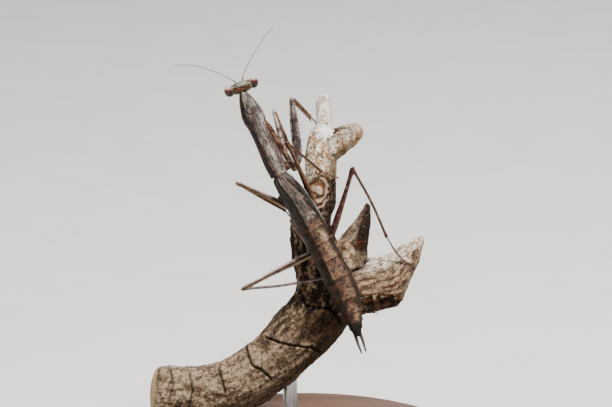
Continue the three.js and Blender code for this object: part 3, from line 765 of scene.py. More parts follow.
def pronotum_tint(u, v, along, angle, points):
    long_streaks = streaks(along, angle, 11, 0.55, 0.16, 5)
    colour = blend(rgb(92, 80, 78), rgb(182, 172, 168), 0.42 + 1.9 * long_streaks)
    cloud = clamp(0.7 + 1.6 * mottled(points, 1.6, 21) + 0.9 * long_streaks)
    band = bump(angle, 5, 15) * smoothstep(along, 5.2, 9.5)
    front = bump(angle, 8, 26) * bump(along, 1.0, 1.7) * clamp(0.75 + 2.2 * long_streaks)
    crescent = bump(along, groove_place(angle) - 0.25, 0.3) * bump(angle, 12, 20)
    blotches = smoothstep(mottled(points, (1.3, 1.3, 0.8), 31), 0.04, 0.3)
    specks = speckled(points, 3.4, 41, 0.24, 0.46)
    flank = clamp(0.35 + 1.2 * mottled(points, 1.8, 51))
    # The share of the left side, which is painted near-black below as shade
    left = smoothstep(-angle, 24, 40)
    behind = smoothstep(along, 4.8, 6)
    pink = bump(along, 4.3, 1.0) * smoothstep(angle, 60, 84)
    return layered(
        colour,
        (248, 236, 224, 0.9 * band * cloud),
        (246, 254, 252, 0.95 * front),
        (70, 58, 54, 0.8 * bump(angle, 9 + 4 * along, 2.6) * bump(along, 1.7, 0.9)),
        (206, 150, 108, 0.8 * crescent),
        (36, 28, 30, 0.95 * bump(along, groove_place(angle) + 0.06, 0.15) * (np.abs(angle) < 56)),
        (52, 52, 66, 0.9 * bump(along, 3.3, 0.6) * bump(angle, 22, 15)),
        (248, 248, 248, 0.9 * bump(along, 5.0, 1.2) * bump(angle, 34, 20) * clamp(cloud + 0.3)),
        (66, 50, 46, 0.6 * blotches * (1 - 0.5 * band)),
        (44, 32, 30, 0.8 * specks),
        # painted shade: the left side near-black, much darker than the right
        (blend(rgb(30, 20, 14), rgb(84, 56, 40), flank), 0.95 * left),
        (blend(rgb(58, 40, 36), rgb(104, 74, 62), flank), 0.8 * smoothstep(angle, 46, 66) * behind),
        (DARK_RED, 0.85 * smoothstep(angle, 70, 82) * behind),
        (196, 160, 146, 0.8 * pink),
        (170, 104, 62, 0.6 * bump(along, PRONOTUM_REAR - 0.35, 0.3) * bump(angle, -14, 12)),
        (226, 214, 200, 0.6 * bump(along, PRONOTUM_REAR - 0.3, 0.22) * bump(angle, 14, 22)),
    )


def pronotum_teeth():
    """The row of small teeth along each side of the pronotum."""
    shapes = []
    for side in (-1, 1):
        for i, along in enumerate(np.arange(0.9, 14.6, 0.31)):
            wobble = scatter(np.array([i]), np.array([side + 2]), np.array([5]), 3)[0]
            length = 0.11 + 0.09 * wobble
            root = pronotum_surface(along, side * 92.0, 0.03)
            tip = pronotum_surface(along - 0.06, side * 93.0, 0.08 + length)
            colour = DARK_RED if side > 0 and along > 5 else rgb(140, 112, 100)
            shapes.append(thorn(root, tip, 0.055, colour, colour * 0.4, sides=6))
    return shapes


def underside_lift(_u, _v, along, angle):
    return -0.04 + 0.03 * streaks(along, angle, 6) + 0.05 * bump(angle, 180, 6)


def underside_tint(_u, _v, _along, _angle, points):
    return blend(rgb(74, 52, 42), rgb(128, 100, 84), 0.45 + mottled(points, 1.4, 61))


def make_pronotum():
    shield = plate(
        300, 150,
        lambda u, v: (
            PRONOTUM_FRONT + (PRONOTUM_REAR - PRONOTUM_FRONT) * u
            + 0.25 * np.abs(2 * v - 1) ** 2 * (1 - u) ** 6
        ),
        lambda u, v: -104 + 208 * v, pronotum_lift, 0.16, pronotum_tint, pronotum_surface,
    )
    piece("pronotum_shield", [shield], SHELL, "thorax", "pronotum")
    piece("pronotum_teeth", pronotum_teeth(), SPINES, "thorax")
    underside = plate(
        120, 60, lambda u, v: 0.8 + 13.6 * u, lambda u, v: 112 + 136 * v, underside_lift, 0.14,
        underside_tint, pronotum_surface,
    )
    piece("prosternum_plate", [underside], SHELL, "thorax")


# ---- Thorax and wing pads ---------------------------------------------------------------------


def notum_tint(seed):
    def paint(u, v, along, angle, points):
        grain = 0.45 + 1.6 * streaks(along, angle, seed, 0.9, 0.12, 5)
        colour = blend(rgb(70, 58, 54), rgb(138, 124, 116), grain)
        pale = 0.6 * bump(along, 23.2, 0.6) * clamp(0.4 + 2 * mottled(points, 2.2, 23))
        return layered(
            colour,
            (46, 34, 30, 0.6 * speckled(points, 2.6, seed + 4, 0.12, 0.36)),
            (226, 216, 206, pale),
            (198, 176, 158, 0.7 * smoothstep(u, 0.9, 0.97) * clamp(0.7 + mottled(points, 3, seed))),
            (196, 184, 176, 0.6 * bump(angle, 0, 3)),
        )

    return paint


def notum_lift(u, v, along, angle):
    keel = 0.09 * bump(angle, 0, 3.5)
    humps = 0.09 * bump(np.abs(angle), 17, 8) * bump(u, 0.42, 0.26)
    cross = -0.07 * bump(u, 0.82 - 0.1 * np.abs(2 * v - 1), 0.035)
    rim = 0.06 * bump(u, 0.95, 0.03)
    oblique = -0.05 * bump(np.abs(angle), 8 + 22 * u, 2.2) * smoothstep(u, 0.06, 0.2)
    oblique = oblique * (1 - smoothstep(u, 0.75, 0.85))
    grains = 0.03 * mottled(body_surface(along, angle, 0), 4.5, 71)
    tucked = -0.2 * (1 - smoothstep(along, 14.8, 15.6))
    return -0.17 + tucked + keel + humps + cross + rim + oblique + grains


PAD_KEEL = 38.0  # degrees off the midline where a wing pad bends down over the flank
PAD_MARGIN = 61.0
WING_PADS = {
    "wing_pad_fore": {"front": 15.35, "rear": 20.95, "inner": (7, 24), "lift": 0.05},
    "wing_pad_hind": {"front": 19.7, "rear": 25.45, "inner": (11, 33), "lift": -0.02},
}
PAD_VEINS = (0.2, 0.36, 0.52, 0.7, 0.84)


def make_wing_pad(kind, side):
    pad = WING_PADS[kind]
    blue = 0.75 if kind == "wing_pad_hind" and side > 0 else 0.15

    def along_of(u, v):
        tip = 1 - 0.2 * np.abs(2 * v - 0.75) ** 3 - 0.06 * clamp(1 - v) ** 2
        return pad["front"] + (pad["rear"] - pad["front"]) * u * tip

    def angle_of(u, v):
        inner = pad["inner"][0] + (pad["inner"][1] - pad["inner"][0]) * u
        outer = PAD_MARGIN - 9 * (1 - u) ** 3 - 8 * smoothstep(u, 0.86, 1.0)
        return side * (inner + (outer - inner) * v)

    def veins(u, v):
        total = 0
        for place in PAD_VEINS:
            fan = place + (0.5 - place) * 0.35 * (1 - u)
            total = total + bump(v, fan, 0.022)
        return total * smoothstep(u, 0.05, 0.25) * (1 - smoothstep(u, 0.9, 1))

    def net(points):
        _first, border, _own = cells(points.reshape(-1, 3) * 3.6, 8)
        return smoothstep(0.12 - border, 0, 0.1).reshape(points.shape[:-1])

    def lift_of(u, v, along, angle):
        keel = 0.10 * bump(np.abs(angle), PAD_KEEL, 2.6)
        margin = 0.06 * bump(v, 0.985, 0.022)
        inner_rim = 0.05 * bump(v, 0.015, 0.02)
        rear_rim = 0.04 * bump(u, 0.985, 0.015)
        crown = 0.04 * np.sin(np.pi * v) * smoothstep(u, 0, 0.4)
        membrane = 0.02 * net(body_surface(along, angle, 0))
        root = -0.16 * (1 - smoothstep(u, 0.0, 0.22))
        return (
            pad["lift"] + keel + margin + inner_rim + rear_rim + crown + root
            + 0.045 * veins(u, v) + membrane
        )

    def tint_of(u, v, along, angle, points):
        grain = clamp(0.45 + 1.6 * streaks(along, angle, 17 + side, 0.8, 0.1, 4))
        colour = blend(rgb(84, 70, 68), rgb(154, 136, 128), grain)
        patches = smoothstep(mottled(points, 1.3, 25), 0.05, 0.3)
        below = smoothstep(np.abs(angle), PAD_KEEL + 1, PAD_KEEL + 6)
        # Below the keel: a brown flank on the right, painted near-black shade on the left
        dark = rgb(40, 27, 20) if side < 0 else rgb(98, 72, 60)
        keel_line = clamp(0.7 + 1.5 * mottled(points, 1.5, 29)) * (0.6 if side < 0 else 0.35)
        colour = layered(
            colour,
            (96, 98, 108, blue * bump(u, 0.66, 0.36) * bump(v, 0.45, 0.4)),
            (62, 46, 42, 0.45 * patches),
            (190, 174, 164, 0.32 * veins(u, v) * clamp(0.5 + 2 * mottled(points, 1.1, 27))),
            (54, 42, 40, 0.3 * net(points) + 0.4 * speckled(points, 2.4, 19, 0.16, 0.42)),
            (dark, 0.92 * below),
            (200, 186, 176, keel_line * bump(np.abs(angle), PAD_KEEL, 1.8)),
        )
        colour = colour * (1 - 0.52 * (side > 0) * bump(angle, 29, 15))[..., None]
        # Painted highlight: a bright cream line along the right pad's outer margin, faint on the
        # left
        margin = 0.1 * smoothstep(v, 0.95, 0.98) if side < 0 else 0.95 * smoothstep(angle, 42.5, 45)
        return blend(colour, 2.2 * rgb(255, 226, 190), margin)

    name = f"{kind}_{'right' if side > 0 else 'left'}"
    shape = plate(130, 90, along_of, angle_of, lift_of, 0.13, tint_of)
    piece(f"{name}_shell", [shape], PAD, "wing_pad", name)


FLANK_PLATES = [  # front, rear, upper and lower angle off the midline
    (14.95, 17.4, 52, 122),
    (17.5, 19.85, 52, 124),
    (19.95, 21.8, 52, 124),
    (21.9, 23.75, 52, 122),
]


def make_nota():
    """The two plates across the back between and in front of the wing pads."""
    nota = (("mesonotum_plate", "mesothorax", 120, 14.8, 5.4, 5),
            ("metanotum_plate", "metathorax", 110, 20.05, 3.95, 9))
    for name, node, rows, front, length, seed in nota:
        notum = plate(
            rows, 110, lambda u, v, f=front, n=length: f + n * u, lambda u, v: -56 + 112 * v,
            notum_lift, 0.14, notum_tint(seed),
        )
        piece(name, [notum], SHELL, "thorax", node)


def flank_tint(side, k):
    # The left plates are painted near-black as shade, much darker than the right ones
    if side < 0:
        low, high = rgb(19, 12, 7), rgb(66, 44, 29)
    else:
        low, high = rgb(60, 42, 36), rgb(120, 94, 80)

    def paint(u, v, _along, _angle, points):
        colour = blend(low, high, 0.35 + 1.1 * mottled(points, 1.5, 80 + k))
        edge = np.maximum(bump(u, 0.02, 0.05), bump(v, 0.02, 0.04))
        return blend(colour, rgb(112, 88, 72), 0.4 * edge)

    return paint


def flank_lift(k):
    def lift(u, v, along, angle):
        suture = -0.1 * bump(v, 0.35 + 0.4 * u, 0.035)
        rim = 0.06 * np.maximum(np.abs(2 * u - 1), np.abs(2 * v - 1)) ** 8
        dome = 0.08 * np.sin(np.pi * u) * np.sin(np.pi * v)
        dome = dome - 0.25 * (1 - smoothstep(along, 15.0, 15.7))
        grains = 0.03 * mottled(body_surface(along, angle, 0), 3, 90 + k)
        return -0.12 + suture + rim + dome + grains

    return lift


def make_flanks():
    for side, side_name in ((-1, "left"), (1, "right")):
        shapes = [
            plate(
                44, 56,
                lambda u, v, f=front, r=rear: f + (r - f) * u + 0.5 * v,
                lambda u, v, a=upper, b=lower, s=side: s * (a + (b - a) * v),
                flank_lift(k), 0.12, flank_tint(side, k),
            )
            for k, (front, rear, upper, lower) in enumerate(FLANK_PLATES)
        ]
        piece(f"thorax_flank_{side_name}", shapes, SHELL, "thorax")


def make_sterna():
    """The plates under the thorax."""
    def lift(u, _v, _along, angle):
        return -0.1 + 0.06 * np.sin(np.pi * u) - 0.12 * bump(angle, 180, 5)

    def tint(_u, _v, _along, _angle, points):
        return blend(rgb(80, 58, 48), rgb(142, 116, 98), 0.4 + mottled(points, 1.7, 7))

    sterna = [
        plate(
            44, 50, lambda u, v, f=front, r=rear: f + (r - f) * u, lambda u, v: 130 + 100 * v,
            lift, 0.12, tint,
        )
        for front, rear in ((15.4, 19.7), (19.9, 23.8))
    ]
    piece("thorax_sterna", sterna, SHELL, "thorax")


# ---- Abdomen ----------------------------------------------------------------------------------

ABDOMEN_RINGS = [23.7, 25.4, 28, 31.1, 34.6, 38.2, 40.6, 42.2, 43.4, 44.75]
ABDOMEN_KEEL = 41.0  # degrees off the midline where the back meets the flank


def abdomen_tint(u, v, along, angle, points):
    """Browns, orange left of the keel and grey right of it, with the left flank painted near-black
    as shade and painted shade at the front of each plate.
    """
    grain = clamp(0.5 + 1.9 * mottled(points, (1.2, 1.2, 1.0), 101, 5))
    colour = blend(rgb(78, 56, 43), rgb(168, 141, 118), grain)
    cloud = clamp(0.45 + 2.2 * mottled(points, 0.6, 105))
    light = bump(angle, 2, 20) * cloud * np.sin(np.pi * clamp(u)) ** 0.5
    # painted shade: the front of each plate darkened where the plate before overlaps it
    front = (1 - smoothstep(u, 0.05, 0.34)) * clamp(0.7 + 1.6 * mottled(points, 1.2, 113))
    red = clamp(bump(angle, -22, 11) + 0.35 * bump(angle, 30, 8))
    red = (0.7 - 0.3 * smoothstep(along, 36, 40)) * red
    red = red * clamp(0.7 + 1.4 * mottled(points, 1.1, 103))
    # painted shade: the left flank darkened to near black
    flank = smoothstep(-angle, ABDOMEN_KEEL - 6, ABDOMEN_KEEL + 3 + 5 * (grain - 0.5))
    dark = blend(rgb(34, 21, 11), rgb(104, 68, 42), 0.35 + 1.3 * mottled(points, 1.1, 109))
    ragged = u + 0.05 * mottled(points, 1.8, 117, 3)
    seam = smoothstep(ragged, 0.93, 0.985) * clamp(0.65 + 1.6 * mottled(points, 0.9, 119))
    rim = bump(ragged, 0.87, 0.05) * clamp(0.3 + 2 * mottled(points, 1.3, 121))
    return layered(
        colour,
        (226, 198, 170, 0.66 * light),
        (58, 42, 36, 0.7 * front),
        (160, 104, 76, red),
        (62, 55, 52, 0.85 * smoothstep(angle, 13, 34)),
        (140, 120, 104, 0.5 * bump(angle, 52, 6) * grain),
        (48, 36, 32, 0.8 * speckled(points, (2.4, 2.4, 1.6), 107, 0.1, 0.34)),
        (dark, 0.96 * flank),
        (84, 66, 56, 0.75 * smoothstep(angle, ABDOMEN_KEEL + 14, ABDOMEN_KEEL + 30)),
        (255, 232, 204, 0.7 * bump(along, 27.4, 1.3) * bump(angle, 8, 13) * cloud),
        (235, 205, 178, 0.6 * bump(along, 41.0, 0.9) * bump(angle, 12, 16)),
        (14, 10, 8, 0.94 * smoothstep(along + 0.4 * grain, 42.0, 43.0)),
        (196, 164, 136, 0.6 * rim * (1 - flank)),
        (40, 28, 24, 0.75 * seam),
    )


def make_abdomen():
    for k, (front, rear) in enumerate(zip(ABDOMEN_RINGS, ABDOMEN_RINGS[1:])):
        last = k == len(ABDOMEN_RINGS) - 2
        length = rear - front
        overlap = 0.0 if last else min(0.2, 0.1 * length)

        def along_of(u, v, front=front, length=length, overlap=overlap):
            corners = 0.1 * np.abs(2 * v - 1) ** 3 * u
            return front - 0.2 + (length + 0.2 + overlap) * u + corners * length * 0.5

        def lift_of(u, v, along, angle, k=k, last=last):
            side = np.abs(angle)
            tucked = -0.14 * (1 - smoothstep(u, 0.0, 0.16))
            corner = smoothstep(side, 36, 52) * smoothstep(u, 0.55, 0.95)
            flare = 0.075 * smoothstep(u, 0.35, 0.97) + (0.02 if last else 0.09) * corner
            lip = 0.035 * bump(u, 0.93, 0.04)
            belly = 0.05 * np.sin(np.pi * clamp(u))
            keel = 0.1 * bump(side, ABDOMEN_KEEL, 3.4)
            middle = 0.05 * bump(angle, 0, 3.2)
            dents = -0.05 * bump(side, 21, 5) * bump(u, 0.4, 0.16)
            place = body_surface(along, angle, 0)
            wrinkles = (
                0.05 * mottled(place, (2.0, 2.0, 3.0), 111 + k)
                + 0.022 * mottled(place, 6.5, 131 + k, 3)
            )
            closing = -0.25 * smoothstep(u, 0.85, 1.0) if last else 0
            return -0.06 + tucked + flare + lip + belly + keel + middle + dents + wrinkles + closing

        rows = max(40, int(26 * length))
        tergite = plate(rows, 130, along_of, lambda u, v: -99 + 198 * v, lift_of, 0.1, abdomen_tint)
        piece(f"tergite_{k + 1}", [tergite], ABDOMEN, "abdomen", f"abdomen_{k + 1}")
        if k == 0:
            continue

        def under_lift(u, v, along, angle, k=k):
            tucked = -0.12 * (1 - smoothstep(u, 0.0, 0.16))
            place = body_surface(along, angle, 0)
            return (
                -0.1 + tucked + 0.06 * smoothstep(u, 0.3, 0.97)
                + 0.03 * mottled(place, 2.4, 151 + k)
            )

        def under_tint(u, v, along, angle, points):
            colour = blend(rgb(88, 64, 52), rgb(150, 122, 100), 0.45 + mottled(points, 1.1, 161))
            return blend(colour, rgb(44, 32, 28), 0.8 * smoothstep(u, 0.95, 0.985))

        sternite = plate(
            rows, 70, along_of, lambda u, v: 108 + 144 * v, under_lift, 0.09, under_tint,
        )
        piece(f"sternite_{k + 1}", [sternite], ABDOMEN, "abdomen")


CERCI = {
    "cercus_right": [(8.5, 0.3, -20.6), (9.25, 0.4, -22.3), (9.91, 0.5, -24.45)],
    "cercus_left": [(8.0, 0.4, -21.2), (8.6, 0.5, -23.2), (9.22, 0.5, -24.75)],
}


def make_cerci():
    for name, places in CERCI.items():
        t = np.linspace(0, 1, 110)
        beads = (
            1 + 0.16 * np.abs(np.sin(np.pi * 11 * t))
            - 0.1 * (1 - np.abs(np.sin(np.pi * 11 * t))) ** 8
        )
        radius = (0.32 - 0.2 * t) * beads

        def tint(u, _a, points):
            rings = np.abs(np.sin(np.pi * 11 * u))
            colour = blend(rgb(36, 29, 29), rgb(96, 86, 87), 0.25 + 0.5 * rings)
            return blend(colour, rgb(120, 112, 118), 0.5 * smoothstep(u, 0.2, 0.9))

        piece(
            f"{name}_beads", [limb(curve(places, 110), radius, 18, tint=tint)], LEG, "abdomen",
            name,
        )


# ---- Head -------------------------------------------------------------------------------------
# The head's own frame: x to the animal's right, y forwards, z towards the crown.

HEAD_PLACE = np.array([-10.64, -1.35, 19.12])
HEAD_TILT = math.radians(20.8)
HEAD_PITCH = math.radians(81)
HEAD_HALF_WIDTH = profile([
    (-2.75, 0.5), (-2.2, 0.85), (-1.2, 1.5), (-0.3, 2.02), (0.3, 2.12), (0.72, 1.92), (0.94, 1.45),
    (1.03, 0.6),
])
HEAD_HALF_DEPTH = profile([
    (-2.75, 0.38), (-1.6, 0.7), (0, 0.92), (0.5, 0.86), (0.8, 0.66), (0.97, 0.4), (1.03, 0.12),
])
EYE_PLACE = np.array([2.12, 0.02, 0.05])
EYE_RADII = np.array([0.79, 0.93, 1.22])
EYE_SPLAY = math.radians(14)


def head_points(points):
    """Points of the head's own frame in the pose frame."""
    p = np.asarray(points, float)
    y = p[..., 1] * math.cos(HEAD_PITCH) - p[..., 2] * math.sin(HEAD_PITCH)
    z = p[..., 1] * math.sin(HEAD_PITCH) + p[..., 2] * math.cos(HEAD_PITCH)
    x = p[..., 0] * math.cos(HEAD_TILT) - z * math.sin(HEAD_TILT)
    z = p[..., 0] * math.sin(HEAD_TILT) + z * math.cos(HEAD_TILT)
    return np.stack([x, y, z], -1) + HEAD_PLACE


def in_head(shape):
    """A shape made in the head's frame, moved to the pose frame."""
    return (head_points(shape[0]), *shape[1:])


def head_capsule():
    rows, columns = 200, 200
    z = np.concatenate([
        np.linspace(1.03, 0.55, 50)[:-1], np.linspace(0.55, -2.75, rows - 49),
    ])[:, None]
    angle = np.linspace(0, 2 * math.pi, columns, endpoint=False)[None, :]
    reach = (np.abs(np.cos(angle)) ** 2.4 + np.abs(np.sin(angle)) ** 2.4) ** (1 / 2.4)
    x = np.cos(angle) / reach * HEAD_HALF_WIDTH(z)
    y = np.sin(angle) / reach * HEAD_HALF_DEPTH(z)
    z = np.broadcast_to(z, x.shape).copy()
    place = np.stack([x, y, z], -1)
    flat = place.reshape(-1, 3)
    top = smoothstep(z, 0.1, 0.75)
    # The crown: fine wavy folds across it, a dip at the middle and a rolled rim behind.
    wavy = flat * (1.1, 5.2, 3.0)
    wavy[:, 1] += 0.5 * np.sin(4.2 * flat[:, 0])
    folds = fbm(wavy, 4, 201).reshape(x.shape)
    ripple = np.sin(4.1 * x + 0.6)
    lift = 0.05 * folds * top
    lift += 0.07 * bump(y, -0.5, 0.09) * top - 0.08 * bump(y, -0.14 + 0.07 * ripple, 0.06) * top
    lift -= 0.06 * bump(y, -0.42 + 0.06 * ripple, 0.05) * top
    lift -= 0.05 * bump(x, 0, 0.35) * top * bump(y, 0.1, 0.4)
    for side in (-1, 1):
        lift -= 0.06 * bump(x, side * 0.85, 0.09) * smoothstep(z, 0.2, 0.6) * (y > -0.5)
        lift += 0.07 * bump(x, side * 1.62, 0.09) - 0.05 * bump(x, side * 1.77, 0.06)
    # The face: a shield between the feelers, a seam under it and a pair of cheeks.
    front = smoothstep(y, 0.15, 0.5)
    lift += 0.09 * front * bump(z, -0.25, 0.32) * bump(x, 0, 0.75)
    lift -= 0.07 * front * bump(z, -0.72 + 0.1 * x * x, 0.07)
    lift -= 0.06 * front * bump(np.abs(x), 0.95 + 0.25 * z, 0.08) * (z < 0.2)
    lift += 0.05 * front * bump(z, -1.3, 0.4) * bump(x, 0, 0.5)
    lift += 0.02 * fbm(flat * 6, 3, 205).reshape(x.shape)
    outward = unit(np.stack(
        [x / HEAD_HALF_WIDTH(z) ** 2, y / HEAD_HALF_DEPTH(z) ** 2, 0.35 * top], -1,
    ))
    rings = place + outward * lift[..., None]
    grain = clamp(0.55 + 1.3 * folds)
    colour = blend(rgb(80, 74, 68), rgb(190, 192, 178), grain)
    wave = 0.07 * ripple + 0.04 * np.sin(9.7 * x)
    back = smoothstep(wave - y, 0.1, 0.2)
    brown = clamp(0.5 + 1.6 * fbm(flat * (2.0, 6, 5), 3, 207).reshape(x.shape))
    face = blend(rgb(92, 72, 60), rgb(150, 126, 108), 0.5 + mottled(place, 2.6, 209))
    cheek = speckled(place, 5.0, 213, 0.1, 0.4)
    colour = layered(
        colour,
        (66, 54, 48, 0.65 * smoothstep(-folds, 0.08, 0.28) * top),
        (blend(rgb(26, 13, 6), rgb(100, 62, 34), brown), 0.97 * back),
        (186, 94, 30, 0.8 * bump(y, wave - 0.3, 0.04) * top * clamp(0.5 + 2 * folds)),
        (24, 14, 12, 0.95 * bump(y, wave - 0.14, 0.07) * top),
        (30, 19, 17, 0.85 * bump(y, wave - 0.44, 0.05) * top),
        (176, 118, 76, 0.8 * bump(y, wave - 0.56, 0.05) * top),
        (face, 0.92 * smoothstep(0.75 - z, 0, 0.45)),
        (196, 172, 150, 0.6 * bump(np.abs(x), 1.62, 0.07)),
        (50, 34, 28, 0.7 * bump(np.abs(x), 1.76, 0.07)),
        (60, 44, 38, 0.5 * cheek),
        (70, 50, 42, 0.6 * front * bump(z, -0.72 + 0.1 * x * x, 0.09)),
    )
    return in_head(closed_tube(rings, colour))


def ellipsoid(centre, radii, turn, rows, columns, tint):
    """An ellipsoid of the head, turned about y. tint may be a function of unit directions."""
    polar = np.linspace(0.02, math.pi - 0.02, rows)[:, None]
    angle = np.linspace(0, 2 * math.pi, columns, endpoint=False)[None, :]
    way = np.stack(
        [
            np.sin(polar) * np.cos(angle), np.sin(polar) * np.sin(angle),
            np.cos(polar) * np.ones_like(angle),
        ],
        -1,
    )
    p = way * np.asarray(radii)
    x = p[..., 0] * math.cos(turn) + p[..., 2] * math.sin(turn)
    z = p[..., 2] * math.cos(turn) - p[..., 0] * math.sin(turn)
    rings = np.stack([x, p[..., 1], z], -1) + np.asarray(centre)
    return in_head(closed_tube(rings, tint(way) if callable(tint) else tint))


def eye_tint(way):
    forward, up = way[..., 1], way[..., 2]
    # Painted highlight: pale pink on the front and top of the eye
    above = smoothstep(up, -0.15, 0.35)
    pale = blend(rgb(108, 74, 58), rgb(192, 164, 160), above)
    colour = blend(rgb(112, 62, 38), pale, smoothstep(forward, 0.05, 0.6))
    stripes = np.sin(way[..., 0] * 11 + way[..., 2] * 6)
    return layered(
        colour,
        # painted shade: the rear of the eye darkened to near black
        (22, 9, 7, smoothstep(-forward, -0.3, 0.45)),
        (66, 36, 26, 0.6 * smoothstep(-up, 0.1, 0.8)),
        (70, 36, 26, 0.3 * smoothstep(stripes, 0.2, 0.9)),
    )


def make_head():
    ocelli = [
        ellipsoid((x, 0.80 - 0.08 * abs(x), z), (0.1, 0.09, 0.1), 0, 16, 20, rgb(196, 170, 130))
        for x, z in ((-0.24, 0.42), (0.24, 0.42), (0, 0.24))
    ]
    sockets = [
        ellipsoid((side * 0.5, 0.78, 0.36), (0.2, 0.12, 0.2), 0, 20, 26, rgb(120, 98, 86))
        for side in (-1, 1)
    ]
    piece("head_capsule", [head_capsule(), *sockets], HEAD_SHELL, "head", "head")
    piece("ocelli", ocelli, EYE, "eye")
    for side, name in ((-1, "left"), (1, "right")):
        eye = ellipsoid(EYE_PLACE * (side, 1, 1), EYE_RADII, side * EYE_SPLAY, 90, 120, eye_tint)
        piece(f"compound_eye_{name}", [eye], EYE, "eye", f"eye_{name}")


def make_mouth():
    """Lip, jaws and feeling palps under the face."""
    horn = rgb(120, 88, 66)
    shapes = []
    t = np.linspace(0, 1, 24)
    lip = np.stack([0 * t, 0.34 - 0.06 * t, -2.62 - 0.72 * t], 1)
    shapes.append(limb(lip, 0.3 - 0.1 * t**2, 24, (1, 0, 0), 1.35, horn))
    for side in (-1, 1):
        jaw = curve(
            [(side * 0.42, 0.12, -2.5), (side * 0.46, 0.16, -2.95), (side * 0.12, 0.2, -3.42)], 24,
        )
        shapes.append(limb(jaw, 0.22 - 0.15 * t, 16, tint=rgb(70, 40, 30)))
        under = curve(
            [(side * 0.3, -0.14, -2.5), (side * 0.32, -0.2, -3.0), (side * 0.15, -0.1, -3.4)], 24,
        )
        shapes.append(limb(under, 0.2 - 0.08 * t, 16, tint=rgb(104, 74, 58)))
        palp = curve(
            [
                (side * 0.36, 0.0, -2.7), (side * 0.58, 0.22, -2.95), (side * 0.5, 0.42, -3.25),
                (side * 0.3, 0.44, -3.5),
            ],
            61,
        )
        for joint in range(5):
            part = palp[joint * 12:joint * 12 + 13]
            shapes.append(limb(part, np.linspace(0.055, 0.075, 13), 10, tint=rgb(150, 118, 94)))
        short = curve(
            [(side * 0.18, -0.2, -3.0), (side * 0.3, -0.3, -3.2), (side * 0.22, -0.28, -3.45)], 31,
        )
        for joint in range(3):
            shapes.append(limb(
                short[joint * 10:joint * 10 + 11], np.linspace(0.045, 0.06, 11), 10,
                tint=rgb(140, 108, 86),
            ))
    piece("mouth_and_palps", [in_head(shape) for shape in shapes], LEG, "head", "mouthparts")


ANTENNAE = {
    "antenna_left": [
        (-12.3, -2.0, 20.35), (-13.5, -2.35, 20.95), (-14.99, -2.5, 21.61), (-17.28, -2.5, 22.35),
        (-19.35, -2.5, 22.71), (-21.4, -2.5, 22.66),
    ],
    "antenna_right": [
        (-10.3, -2.1, 21.0), (-9.76, -2.5, 22.35), (-8.48, -3, 24.61), (-7.03, -3.5, 26.91),
        (-5.45, -4, 28.9),
    ],
}
ANTENNA_JOINTS = 62


def make_antennae():
    for name, places in ANTENNAE.items():
        side = 1 if name.endswith("right") else -1
        root = head_points(np.array([(side * 0.5, 0.84, 0.36), (side * 0.56, 0.98, 0.42)]))
        path = curve(np.vstack([root, places]), 620)
        run = np.linalg.norm(path - path[0], axis=1)
        scape_end, pedicel_end = np.searchsorted(run, 0.42), np.searchsorted(run, 0.66)
        shapes = [
            limb(
                path[:scape_end + 1], np.linspace(0.1, 0.13, scape_end + 1), 16,
                tint=rgb(128, 106, 94),
            ),
            limb(
                path[scape_end:pedicel_end + 1],
                np.linspace(0.08, 0.095, pedicel_end + 1 - scape_end), 14, tint=rgb(110, 84, 70),
            ),
        ]
        whip = path[pedicel_end:]
        t = np.linspace(0, 1, len(whip))
        joints = np.abs(np.sin(np.pi * ANTENNA_JOINTS * t))
        radius = (0.075 - 0.035 * t) * (0.86 + 0.14 * joints)

        def tint(u, _a, _p):
            rings = np.abs(np.sin(np.pi * ANTENNA_JOINTS * u))
            colour = blend(rgb(84, 62, 50), rgb(158, 132, 110), 0.3 + 0.5 * rings)
            return blend(colour, rgb(90, 70, 58), 0.5 * smoothstep(u, 0.3, 1))

        shapes.append(limb(whip, radius, 9, tint=tint))
        piece(f"{name}_whip", shapes, FEELER, "antenna", name)


# ---- Legs -------------------------------------------------------------------------------------

FORELEGS = {
    "right": {
        "hip": (-6.75, 0.75, 13.3), "trochanter": (-1.95, 2.5, 5.75), "thigh": (-1.25, 2.85, 6.9),
        "knee": (-2.4, 1.8, 17.3), "ankle": (0.62, 5.2, 14.5), "toe": (1.75, 7.7, 13.6),
        "flexed": (1, 0, 0.12),
    },
    "left": {
        "hip": (-8.7, 0.95, 12.7), "trochanter": (-3.25, 4.3, 5.9), "thigh": (-3.0, 4.8, 6.9),
        "knee": (-5.35, 1.95, 15.3), "ankle": (-3.35, 5.4, 10.9), "toe": (-2.3, 7.2, 9.3),
        "flexed": (0.15, 1, 0.05),
    },
}
WALKING_LEGS = {
    "mid_right": {
        "hip": (18.4, 1.1, 2.55), "thigh": (1.35, 2.3, 0.1), "knee": (-3.12, -1.6, 9.93),
        "shin": (-0.35, 1.65, 7.75), "ankle": (2.45, 4.9, 5.42), "foot": [(3.9, 5.1, 4.8)],
        "toe": (5.25, 5.75, 4.3),
    },
    "mid_left": {
        "hip": (18.2, -0.9, 2.35), "thigh": (-1.6, 2.3, -1.2), "knee": (-11.23, -1.8, 3.3),
        "shin": (-7.35, 0.1, 0.95), "ankle": (-3.5, 2.0, -1.15), "foot": [(-2.5, 3.1, -2.3)],
        "toe": (-1.2, 4.95, -4.0),
    },
    "hind_right": {
        "hip": (22.9, 1.3, 2.9), "thigh": (3.9, 2.7, -6.3), "knee": (7.7, 0.4, 5.7),
        "shin": (10.75, 1.7, 0.35), "ankle": (13.37, 3.0, -5.5),
        "foot": [(14.8, 3.7, -7.8), (16.3, 3.7, -9.5)], "toe": (18.0, 4.7, -10.5),
    },
    "hind_left": {
        "hip": (22.6, -1.1, 2.6), "thigh": (1.2, 2.6, -8.2), "knee": (-10.4, 0.4, -14.1),
        "shin": (-4.1, 2.0, -13.6), "ankle": (2.1, 3.6, -12.5), "foot": [(4.2, 3.9, -13.1)],
        "toe": (6.2, 3.8, -14.6),
    },
}
